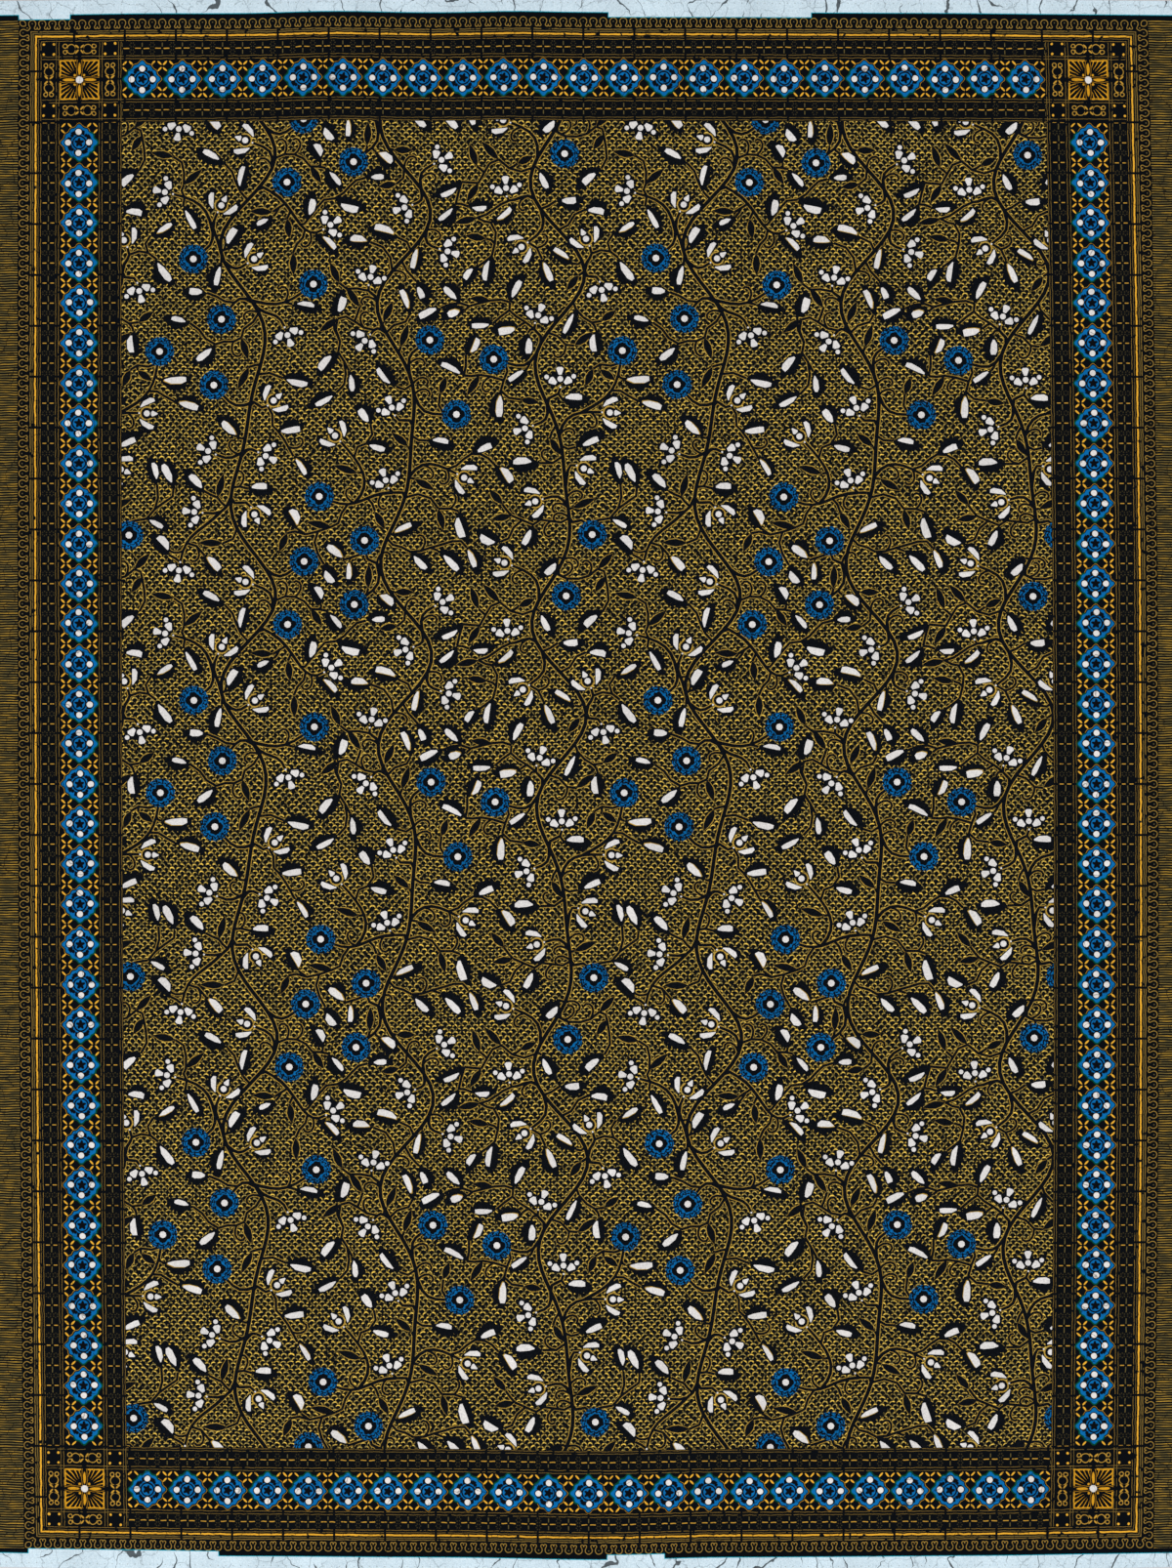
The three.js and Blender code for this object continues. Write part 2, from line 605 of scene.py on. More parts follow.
@dataclass
class Room:
    """Spots on a repeat whose opposite edges meet, kept in a coarse grid."""

    width: float
    height: float
    pitch: float = 16.0
    cells: dict[tuple[int, int], list[Spot]] = field(default_factory=dict)

    def away(self, start: Point, end: Point) -> Point:
        """The shortest arrow from one point of the repeat to another."""
        du = (end[0] - start[0] + self.width / 2) % self.width - self.width / 2
        dv = (end[1] - start[1] + self.height / 2) % self.height - self.height / 2
        return du, dv

    def key(self, at: Point, du: int = 0, dv: int = 0) -> tuple[int, int]:
        """The grid cell of a point, or one of its neighbours."""
        columns, rows = int(self.width // self.pitch), int(self.height // self.pitch)
        column = int(at[0] % self.width / self.width * columns) + du
        row = int(at[1] % self.height / self.height * rows) + dv
        return column % columns, row % rows

    def take(self, at: Point, radius: float, bearing: float = 0.0) -> None:
        """Mark a round spot as taken."""
        self.cells.setdefault(self.key(at), []).append(Spot(at, radius, bearing))

    def around(self, at: Point, reach: int = 2) -> list[Spot]:
        """The spots in the grid cells around a point."""
        steps = range(-reach, reach + 1)
        keys = (self.key(at, du, dv) for du in steps for dv in steps)
        return [spot for key in keys for spot in self.cells.get(key, ())]

    def free(self, at: Point, radius: float) -> bool:
        """Whether a round spot touches nothing that is taken."""
        for spot in self.around(at):
            if math.hypot(*self.away(at, spot.at)) < spot.radius + radius:
                return False
        return True


class Bloom(Enum):
    """What ends a branch, with the room that it needs and half its length on its stalk."""

    DAISY = (11.4, 9.5)
    TULIP = (12.2, 9.8)
    BERRIES = (11.0, 9.3)

    @property
    def radius(self) -> float:
        """The room that it needs round its middle."""
        return self.value[0]

    @property
    def stalk(self) -> float:
        """How far from its middle its stalk ends."""
        return self.value[1]

    def shapes(self, at: Point, bearing: float) -> list[Shape]:
        """Its outlines in place.

        Args:
            at: Its middle.
            bearing: The way it looks.

        Returns:
            The shapes.
        """
        if self is Bloom.DAISY:
            return [shape.moved(at, bearing) for shape in Daisy().shapes()]
        root = (at[0] - self.stalk * math.cos(bearing), at[1] - self.stalk * math.sin(bearing))
        drawn = Tulip().shapes() if self is Bloom.TULIP else Berries().shapes()
        return [shape.moved(root, bearing) for shape in drawn]


@dataclass
class Branch:
    """A grown stem: its middle line, half its width at each point, and the width of its pale edges."""

    path: list[Point]
    widths: list[float]
    halo: float = 0.45

    def shapes(self) -> list[Shape]:
        """The dark stem, over a wider ochre one."""
        wide = [half + self.halo for half in self.widths]
        edges = ribbon(self.path, wide, Ink.OCHRE, Layer.HALO)
        return edges + ribbon(self.path, self.widths, Ink.NAVY, Layer.STEM)


def unit(bearing: float, length: float = 1.0) -> Point:
    """The arrow of a length along a bearing."""
    return length * math.cos(bearing), length * math.sin(bearing)


def turned_towards(bearing: float, aim: float, share: float) -> float:
    """A line's bearing, or its opposite, whichever is nearer an aim, turned a share of the way to it."""
    gap = math.remainder(aim - bearing, 2 * math.pi)
    if abs(gap) > math.pi / 2:
        bearing += math.pi
        gap = math.remainder(aim - bearing, 2 * math.pi)
    return bearing + share * gap


@dataclass
class VinePrint:
    """The flowering vines, drawn once on a repeat and printed over the whole field.

    Sizes are in millimetres, and a stem's or twig's half is half its width. The spares are the room
    that leaves keep to what is drawn, one for each pass over the repeat. The bends are the bearings,
    in degrees off the straight one, in which a branch may reach its bloom.
    """

    half_u: float = 359.4
    half_v: float = 515.6
    repeats_u: int = 2
    repeats_v: int = 3
    offset: Point = (38.0, -61.0)
    stems: int = 3
    sway: float = 15.0
    stem_half: float = 1.5
    stem_clear: float = 19.0
    branch_half: float = 1.4
    branch_taper: float = 0.4
    twig_half: float = 1.05
    tendril_half: float = 0.95
    thin_halo: float = 0.35
    step: float = 8.0
    daisies: int = 15
    tulips: int = 13
    berries: int = 19
    spacing: float = 52.0
    rounds: int = 90
    nearest_foot: float = 9.0
    farthest_foot: float = 52.0
    feet: int = 16
    bends: tuple[int, ...] = (-105, -60, -25, 25, 60, 105)
    white_leaves: int = 96
    dark_leaves: int = 46
    white_share: float = 0.7
    spares: tuple[float, ...] = (5.5, 4.5, 3.5, 2.6, 1.8, 1.1, 0.5)
    tries: int = 900
    longest_twig: float = 30.0
    tendrils: int = 44
    tendril_steps: int = 6
    seed: int = 29

    def __post_init__(self) -> None:
        """Work out the repeat and start with empty rooms for what is drawn."""
        self.width = 2 * self.half_u / self.repeats_u
        self.height = 2 * self.half_v / self.repeats_v
        self.dice = random.Random(self.seed)
        self.bodies = Room(self.width, self.height)
        self.lines = Room(self.width, self.height)

    def stem_u(self, stem: int, v: float) -> float:
        """Place of a main stem along U at a height on the repeat."""
        turn = 2 * math.pi * v / self.height
        wave = math.sin(2 * turn + 1.9 * stem) + 0.5 * math.sin(3 * turn + 2.3 * stem)
        return (stem + 0.5) * self.width / self.stems + self.sway * wave

    def claim(self, branch: Branch, radius: float = 0.9) -> Branch:
        """Mark a stem's line as taken, so that others keep off it and may grow out of it.

        Args:
            branch: The stem.
            radius: Room on each side of it.

        Returns:
            The same stem.
        """
        for before, at in zip(branch.path, branch.path[1:]):
            bearing = math.atan2(at[1] - before[1], at[0] - before[0])
            self.lines.take(at, radius, bearing)
        return branch

    def main_stems(self) -> list[Branch]:
        """The main stems, which run from repeat to repeat."""
        count = round(self.height / self.step)
        heights = [self.height * i / count for i in range(count + 1)]
        branches = []
        for stem in range(self.stems):
            path = [(self.stem_u(stem, v), v) for v in heights]
            branches.append(self.claim(Branch(path, [self.stem_half] * len(path)), 1.4))
        return branches

    def nudged(self, at: Point, spots: list[Point]) -> Point:
        """Push the middle of a bloom off its neighbours and off the stems.

        Args:
            at: The middle.
            spots: The middles of all blooms.

        Returns:
            The middle after one push.
        """
        bloom_push, stem_push = 0.3, 0.6
        du = dv = 0.0
        for other in spots:
            away = self.bodies.away(other, at)
            apart = math.hypot(*away)
            if 0 < apart < self.spacing:
                push = bloom_push * (self.spacing - apart) / apart
                du += push * away[0]
                dv += push * away[1]
        for stem in range(self.stems):
            gap = self.bodies.away((self.stem_u(stem, at[1]), at[1]), at)[0]
            if abs(gap) < self.stem_clear:
                du += math.copysign(self.stem_clear - abs(gap), gap) * stem_push
        return at[0] + du, at[1] + dv

    def blooms(self) -> list[tuple[Point, Bloom]]:
        """All blooms, spread evenly over the repeat in a well mixed order."""
        kinds = [Bloom.DAISY] * self.daisies + [Bloom.TULIP] * self.tulips
        kinds += [Bloom.BERRIES] * self.berries
        self.dice.shuffle(kinds)
        spots = [(self.dice.uniform(0, self.width), self.dice.uniform(0, self.height)) for _ in kinds]
        for _ in range(self.rounds):
            spots = [self.nudged(at, spots) for at in spots]
        for at, kind in zip(spots, kinds):
            self.bodies.take(at, kind.radius)
        return list(zip(spots, kinds))

    def reach(self, at: Point) -> float:
        """How far a point is from the nearest line that is drawn."""
        gaps = (math.hypot(*self.lines.away(at, spot.at)) for spot in self.lines.around(at, 5))
        return min(gaps, default=math.inf)

    def feeder(self, at: Point, kind: Bloom) -> tuple[Branch, float]:
        """Grow the branch that feeds a bloom, along the clearest of many curls.

        Args:
            at: Middle of the bloom.
            kind: What it is.

        Returns:
            The branch, and the bearing in which the bloom looks.
        """
        least, most = kind.radius + self.nearest_foot, kind.radius + self.farthest_foot
        feet = []
        for spot in self.lines.around(at, 4):
            arrow = self.lines.away(spot.at, at)
            if least < math.hypot(*arrow) < most:
                feet.append((math.hypot(*arrow), arrow, spot.bearing))
        feet.sort()
        best = (math.inf, Branch([], []), 0.0)
        clear_of_blooms, clear_of_lines = 1.6, 2.6
        for _, arrow, line in feet[:: max(1, len(feet) // self.feet)]:
            foot = (at[0] - arrow[0], at[1] - arrow[1])
            aim = math.atan2(arrow[1], arrow[0])
            for bend in self.bends:
                enter = aim + math.pi + math.radians(bend)
                stalk, lead, leave = (
                    unit(enter, kind.stalk),
                    unit(enter, kind.stalk + 0.4 * math.hypot(*arrow)),
                    unit(turned_towards(line, aim, 0.3), 0.4 * math.hypot(*arrow)),
                )
                base = (at[0] + stalk[0], at[1] + stalk[1])
                control = (at[0] + lead[0], at[1] + lead[1])
                start = (foot[0] + leave[0], foot[1] + leave[1])
                length = math.dist(foot, start) + math.dist(start, control) + math.dist(control, base)
                path = bezier(foot, start, control, base, max(4, round(length / self.step)))
                hits = sum(not self.bodies.free(p, clear_of_blooms) for p in path[1:-1])
                hits += sum(not self.lines.free(p, clear_of_lines) for p in path[2:])
                cost = hits + 0.015 * length + 0.5 * self.dice.random()
                if cost < best[0]:
                    half, taper, count = self.branch_half, self.branch_taper, len(path)
                    widths = [half - taper * i / count for i in range(count)]
                    best = (cost, Branch(path, widths), enter + math.pi)
        return best[1], best[2]

    def leaf(self, white: bool, spare: float) -> tuple[list[Shape], Branch] | None:
        """Try to put a leaf somewhere, on a twig from the nearest line.

        Args:
            white: Whether it is a leaf with an undyed half.
            spare: Room that it leaves to what is drawn already.

        Returns:
            The leaf's shapes and its twig, or nothing where it doesn't fit.
        """
        dice = self.dice
        base = (dice.uniform(0, self.width), dice.uniform(0, self.height))
        way, flip = dice.uniform(-math.pi, math.pi), dice.choice((1.0, -1.0))
        length = dice.uniform(19.0, 26.5) if white else dice.uniform(14.0, 20.0)
        deep = 5.0 if white else 2.7
        discs = []
        # share of the leaf's length, and size beside its depth, of the spots that it takes up
        for share, size in ((0.12, 0.5), (0.4, 1.0), (0.68, 0.95), (0.95, 0.4)):
            along, across = share * length, -flip * deep * 0.4 * white
            u = base[0] + along * math.cos(way) - across * math.sin(way)
            v = base[1] + along * math.sin(way) + across * math.cos(way)
            discs.append(((u, v), size * deep))
        for at, radius in discs:
            if not self.bodies.free(at, radius + spare) or not self.lines.free(at, radius + 0.8):
                return None
        twig = self.twig(base, way)
        if twig is None:
            return None
        for at, radius in discs:
            self.bodies.take(at, radius)
        if white:
            drawn = Leaf(
                length=length,
                bow=dice.uniform(-2.6, 4.2),
                body=dice.uniform(1.9, 3.0),
                dark=dice.uniform(4.6, 6.2),
                start=dice.uniform(0.12, 0.26),
                stop=dice.uniform(0.7, 0.84),
                blunt=dice.random(),
                lining=dice.choice((0.0, 0.0, 0.8)),
            ).shapes()
        else:
            drawn = Sprig(length=length).shapes()
        return [shape.moved(base, way, flip) for shape in drawn], twig

    def twig(self, base: Point, way: float) -> Branch | None:
        """Grow the twig of a leaf from the nearest line.

        Args:
            base: Where the leaf starts.
            way: The way it points.

        Returns:
            The twig, or nothing where no line is near and open to it.
        """
        shortest, sharpest, clear = 2.5, 1.3, 0.6
        spots = self.lines.around(base)
        near = sorted(spots, key=lambda spot: math.hypot(*self.lines.away(base, spot.at)))
        for spot in near[:6]:
            arrow = self.lines.away(spot.at, base)
            gap, aim = math.hypot(*arrow), math.atan2(arrow[1], arrow[0])
            turn = abs(math.remainder(way - aim, 2 * math.pi))
            if not shortest < gap < self.longest_twig or turn > sharpest:
                continue
            foot = (base[0] - arrow[0], base[1] - arrow[1])
            leave = unit(turned_towards(spot.bearing, aim, 0.45), 0.4 * gap)
            lead = unit(way, 0.4 * gap)
            start = (foot[0] + leave[0], foot[1] + leave[1])
            control = (base[0] - lead[0], base[1] - lead[1])
            path = bezier(foot, start, control, base, max(2, round(gap / self.step)))
            if all(self.bodies.free(p, clear) for p in path[1:-1]):
                return Branch(path, [self.twig_half] * len(path), self.thin_halo)
        return None

    def leaves(self) -> tuple[list[Shape], list[Branch]]:
        """Leaves wherever there is room, the widest gaps first, with their twigs."""
        shapes: list[Shape] = []
        twigs: list[Branch] = []
        left = {True: self.white_leaves, False: self.dark_leaves}
        for spare in self.spares:
            for _ in range(self.tries):
                white = self.dice.random() < self.white_share
                grown = self.leaf(white, spare) if left[white] else None
                if grown:
                    shapes += grown[0]
                    twigs.append(self.claim(grown[1]))
                    left[white] -= 1
        LOG.info("repeat: %d white and %d dark leaves found no room", left[True], left[False])
        return shapes, twigs

    def curls(self) -> list[Branch]:
        """Tendrils that curl out of the lines into what room is left."""
        spots = [spot for cell in self.lines.cells.values() for spot in cell]
        self.dice.shuffle(spots)
        grown: list[Branch] = []
        leave, tighten, first, shorten = 0.7, 0.14, 3.7, 0.28
        for spot in spots:
            side = self.dice.choice((1, -1))
            bearing, path = spot.bearing + side * leave, [spot.at]
            for i in range(self.tendril_steps):
                bearing += side * (tighten + tighten * i)
                arrow = unit(bearing, first - shorten * i)
                path.append((path[-1][0] + arrow[0], path[-1][1] + arrow[1]))
            clear = all(self.bodies.free(p, 1.2) for p in path)
            if clear and all(self.lines.free(p, 1.4) for p in path[2:]):
                halves = [self.tendril_half] * len(path)
                grown.append(self.claim(Branch(path, halves, self.thin_halo)))
            if len(grown) == self.tendrils:
                break
        return grown

    def repeat(self) -> list[Shape]:
        """All shapes of one repeat."""
        branches = self.main_stems()
        shapes: list[Shape] = []
        blooms = self.blooms()
        for at, kind in sorted(blooms, key=lambda bloom: self.reach(bloom[0])):
            branch, bearing = self.feeder(at, kind)
            branches.append(self.claim(branch))
            shapes += kind.shapes(at, bearing)
        drawn, twigs = self.leaves()
        shapes += drawn
        for branch in branches + twigs + self.curls():
            shapes += branch.shapes()
        return shapes

    def shapes(self) -> list[Shape]:
        """The field's ground and every repeat that shows on it."""
        low, high = (-self.half_u, -self.half_v), (self.half_u, self.half_v)
        shapes = [rectangle(low, high, Ink.SCALES, Layer.GROUND)]
        drawn = self.repeat()
        for column in range(-1, self.repeats_u + 1):
            for row in range(-1, self.repeats_v + 1):
                du = self.offset[0] + low[0] + column * self.width
                dv = self.offset[1] + low[1] + row * self.height
                for shape in drawn:
                    us = [u + du for u, _ in shape.outline]
                    vs = [v + dv for _, v in shape.outline]
                    inside_u = max(us) > low[0] and min(us) < high[0]
                    if inside_u and max(vs) > low[1] and min(vs) < high[1]:
                        shapes.append(shape.shifted(du, dv))
        return shapes


@dataclass(frozen=True)
class BorderPrint:
    """The zones round the field: border bands, corner blocks and striped ends. Finishes draw them."""

    field_u: float = 359.4
    field_v: float = 515.6
    stripe_u: float = 439.6
    margin_v: float = 600.1
    tab_v: float = 596.4
    fringe: float = 0.6
    top_tabs: tuple[Point, ...] = ((-440.0, -400.5), (19.8, 177.5))
    bottom_tabs: tuple[Point, ...] = ((-436.8, -288.9), (14.6, 58.8))

    def undyed(self, lay: Lay) -> list[Shape]:
        """The undyed margins beside the selvedges, with their bare tabs and blue fringes.

        Args:
            lay: The cloth's cut.

        Returns:
            Two rectangles for each stretch.
        """
        end_u, end_v = lay.half_length, lay.print_edge
        shapes = []
        for side, tabs in ((1, self.top_tabs), (-1, self.bottom_tabs)):
            stretches = [(-end_u, end_u, self.margin_v)] + [(*tab, self.tab_v) for tab in tabs]
            for left, right, start in stretches:
                fringe_left, fringe_right = max(-end_u, left - self.fringe), min(end_u, right + self.fringe)
                low, high = sorted((side * (start - self.fringe), side * end_v))
                fringe = ((fringe_left, low), (fringe_right, high))
                shapes.append(rectangle(*fringe, Ink.FRINGE, Layer.FRINGE))
                low, high = sorted((side * start, side * end_v))
                shapes.append(rectangle((left, low), (right, high), Ink.MARGIN, Layer.MARGIN))
        return shapes

    def shapes(self, lay: Lay) -> list[Shape]:
        """Outlines of the zones.

        Args:
            lay: The cloth's cut.

        Returns:
            The rectangles of the zones and of the undyed margins.
        """
        end_u, end_v = lay.half_length, lay.print_edge

        def zone(us: Point, vs: Point, ink: Ink) -> Shape:
            """The zone between two places along U and two along V, in either order."""
            (left, right), (low, high) = sorted(us), sorted(vs)
            return rectangle((left, low), (right, high), ink, Layer.ZONE)

        shapes = []
        for side in (-1, 1):
            band_u = (side * self.field_u, side * self.stripe_u)
            band_v = (side * self.field_v, side * end_v)
            shapes.append(zone((-self.field_u, self.field_u), band_v, Ink.BORDER))
            shapes.append(zone(band_u, (-self.field_v, self.field_v), Ink.BORDER))
            for up in (-1, 1):
                shapes.append(zone(band_u, (up * self.field_v, up * end_v), Ink.CORNER))
            shapes.append(zone((side * self.stripe_u, side * end_u), (-end_v, end_v), Ink.ENDS))
        return shapes + self.undyed(lay)


# --------------------------------------------------------------------------------------------------
# Finishes
# --------------------------------------------------------------------------------------------------


class Wire:
    """A number on its way through a node tree, which adds, multiplies and compares like a number."""

    def __init__(self, tree: bpy.types.NodeTree, socket: bpy.types.NodeSocket) -> None:
        """Hold an output socket of a tree."""
        self.tree = tree
        self.socket = socket

    def maths(self, operation: str, *others: Wire | float, clamp: bool = False) -> Wire:
        """Add a Math node.

        Args:
            operation: What it does with this number and the others.
            *others: Its other inputs.
            clamp: Whether its result is held between 0 and 1.

        Returns:
            The node's result.
        """
        node = self.tree.nodes.new("ShaderNodeMath")
        node.operation = operation
        node.use_clamp = clamp
        for socket, value in zip(node.inputs, (self, *others)):
            if isinstance(value, Wire):
                self.tree.links.new(value.socket, socket)
            else:
                socket.default_value = value
        return Wire(self.tree, node.outputs[0])

    def __add__(self, other: Wire | float) -> Wire:
        """The sum."""
        return self.maths("ADD", other)

    def __sub__(self, other: Wire | float) -> Wire:
        """The difference."""
        return self.maths("SUBTRACT", other)

    def __mul__(self, other: Wire | float) -> Wire:
        """The product."""
        return self.maths("MULTIPLY", other)

    def __truediv__(self, other: Wire | float) -> Wire:
        """The quotient."""
        return self.maths("DIVIDE", other)

    def __rsub__(self, other: float) -> Wire:
        """A plain number less this one."""
        return self.maths("MULTIPLY_ADD", -1.0, other)

    def __abs__(self) -> Wire:
        """This number without its sign."""
        return self.maths("ABSOLUTE")

    def low(self, other: Wire | float) -> Wire:
        """The lower of two numbers."""
        return self.maths("MINIMUM", other)

    def high(self, other: Wire | float) -> Wire:
        """The higher of two numbers."""
        return self.maths("MAXIMUM", other)

    def fold(self, period: float) -> Wire:
        """Distance from the nearest whole number of periods."""
        return abs(self.maths("WRAP", period / 2, -period / 2))

    def wave(self, times: float) -> Wire:
        """Cosine of this angle times a number."""
        return (self * times).maths("COSINE")

    def above(self, limit: Wire | float) -> Wire:
        """1 above a limit and 0 up to it."""
        return self.maths("GREATER_THAN", limit)

    def below(self, limit: Wire | float) -> Wire:
        """1 below a limit and 0 from it on."""
        return self.maths("LESS_THAN", limit)

    def over(self, start: float, slope: float) -> Wire:
        """0 up to a start, and from there up to 1 at a slope."""
        return (self - start).maths("MULTIPLY", slope, clamp=True)

    def under(self, limit: float, soft: float = 0.3) -> Wire:
        """1 below a limit and 0 above it, over a soft step."""
        return self.maths("MULTIPLY_ADD", -1 / soft, limit / soft + 0.5, clamp=True)

    def near(self, middle: float, half: float, soft: float = 0.3) -> Wire:
        """1 within half of a middle value and 0 outside, over a soft step."""
        return abs(self - middle).under(half, soft)

    def span(self, other: Wire) -> Wire:
        """Length of the arrow with these two sides."""
        return (self * self).maths("ADD", other * other).maths("SQRT")


class Board:
    """A node tree with short ways to add what the finishes use."""

    def __init__(self, tree: bpy.types.NodeTree) -> None:
        """Draw on a node tree."""
        self.tree = tree

    def node(self, kind: str, **settings: object) -> bpy.types.Node:
        """Add a node and set its properties."""
        node = self.tree.nodes.new(kind)
        for name, value in settings.items():
            setattr(node, name, value)
        return node

    def link(self, source: Wire | bpy.types.NodeSocket, target: bpy.types.NodeSocket) -> None:
        """Lead a value to a socket."""
        self.tree.links.new(source.socket if isinstance(source, Wire) else source, target)

    def attribute(self, name: str) -> bpy.types.NodeSocket:
        """A vector attribute of the piece."""
        return self.node("ShaderNodeAttribute", attribute_name=name).outputs["Vector"]

    def parts(self, vector: bpy.types.NodeSocket) -> tuple[Wire, Wire, Wire]:
        """The three numbers of a vector."""
        node = self.node("ShaderNodeSeparateXYZ")
        self.link(vector, node.inputs[0])
        return tuple(Wire(self.tree, socket) for socket in node.outputs)

    def noise(self, vector: bpy.types.NodeSocket, size: float, detail: float = 1.0) -> bpy.types.Node:
        """A noise whose spots are about size millimetres across."""
        node = self.node("ShaderNodeTexNoise", noise_dimensions="2D")
        node.inputs["Scale"].default_value = 1 / size
        node.inputs["Detail"].default_value = detail
        self.link(vector, node.inputs["Vector"])
        return node

    def blur(self, vector: bpy.types.NodeSocket, size: float, detail: float = 1.0) -> Wire:
        """The plain value of such a noise."""
        return Wire(self.tree, self.noise(vector, size, detail).outputs["Fac"])

    def drifted(
        self, place: bpy.types.NodeSocket, at: bpy.types.NodeSocket, size: float, reach: float, detail: float
    ) -> bpy.types.NodeSocket:
        """Let a place drift about with a noise.

        Args:
            place: The place that moves.
            at: Where the noise is read.
            size: About how wide the noise's spots are.
            reach: How far it moves the place.
            detail: How fine the noise is.

        Returns:
            The moved place.
        """
        noise = self.noise(at, size, detail)
        moved = self.node("ShaderNodeVectorMath", operation="MULTIPLY_ADD")
        self.link(noise.outputs["Color"], moved.inputs[0])
        moved.inputs[1].default_value = (reach, reach, 0.0)
        self.link(place, moved.inputs[2])
        return moved.outputs[0]

    def squashed(self, place: bpy.types.NodeSocket, share: float) -> bpy.types.NodeSocket:
        """A place whose U is cut down to a share, so that a noise on it has long spots."""
        flat = self.node("ShaderNodeVectorMath", operation="MULTIPLY")
        self.link(place, flat.inputs[0])
        flat.inputs[1].default_value = (share, 1.0, 1.0)
        return flat.outputs[0]

    def ramp(self, value: Wire, stops: list[tuple[float, float]], reach: float) -> Wire:
        """A stepped scale.

        Args:
            value: What is looked up.
            stops: Where each step starts, and its height.
            reach: The value at the end of the scale.

        Returns:
            The height at the value.
        """
        node = self.node("ShaderNodeValToRGB")
        scale = node.color_ramp
        scale.interpolation = "CONSTANT"
        while len(scale.elements) < len(stops):
            scale.elements.new(1.0)
        for element, (at, height) in zip(scale.elements, stops):
            element.position = at / reach
            element.color = (height, height, height, 1.0)
        self.link(value / reach, node.inputs[0])
        return Wire(self.tree, node.outputs["Color"])

    def mix(self, share: Wire | float, under: Colour, over: Colour) -> bpy.types.NodeSocket:
        """Lay one colour over another.

        Args:
            share: How much of the upper one shows.
            under: The lower colour.
            over: The upper colour.

        Returns:
            The mixed colour.
        """
        node = self.node("ShaderNodeMix", data_type="RGBA")
        factor, lower, upper = node.inputs["Factor"], node.inputs[6], node.inputs[7]
        for socket, value in ((factor, share), (lower, under), (upper, over)):
            if isinstance(value, (Wire, bpy.types.NodeSocket)):
                self.link(value, socket)
            else:
                socket.default_value = value
        return node.outputs[2]


def new_group(name: str, inputs: dict[str, str], outputs: dict[str, str]) -> tuple[Board, dict, dict]:
    """Start a shader node group.

    Args:
        name: Its name.
        inputs: Name and socket type of each input.
        outputs: Name and socket type of each output.

    Returns:
        The group's board, its inputs and its outputs, by name.
    """
    tree = bpy.data.node_groups.new(name, "ShaderNodeTree")
    for label, kind in inputs.items():
        tree.interface.new_socket(label, in_out="INPUT", socket_type=kind)
    for label, kind in outputs.items():
        tree.interface.new_socket(label, in_out="OUTPUT", socket_type=kind)
    start = tree.nodes.new("NodeGroupInput")
    end = tree.nodes.new("NodeGroupOutput")
    given = {label: start.outputs[label] for label in inputs}
    wanted = {label: end.inputs[label] for label in outputs}
    return Board(tree), given, wanted


@dataclass(frozen=True)
class Dyes:
    """The colours of the print and of the undyed cotton."""

    navy: Dye = srgb(5, 8, 13)
    navy_worn: Dye = srgb(22, 24, 30)
    ochre: Dye = srgb(236, 174, 50)
    block_ochre: Dye = srgb(212, 152, 32)
    field_ochre: Dye = srgb(188, 148, 54)
    ground_ochre: Dye = srgb(255, 212, 88)
    ground_olive: Dye = srgb(156, 138, 74)
    olive: Dye = srgb(105, 92, 50)
    blue: Dye = srgb(5, 104, 168)
    flower_blue: Dye = srgb(3, 84, 134)
    green: Dye = srgb(0, 88, 60)
    white: Dye = srgb(226, 222, 217)
    white_worn: Dye = srgb(196, 192, 192)
    selvedge: Dye = srgb(214, 232, 240)
    selvedge_worn: Dye = srgb(186, 209, 221)
    cyan: Dye = srgb(20, 168, 190)
    back: Dye = srgb(70, 63, 48)


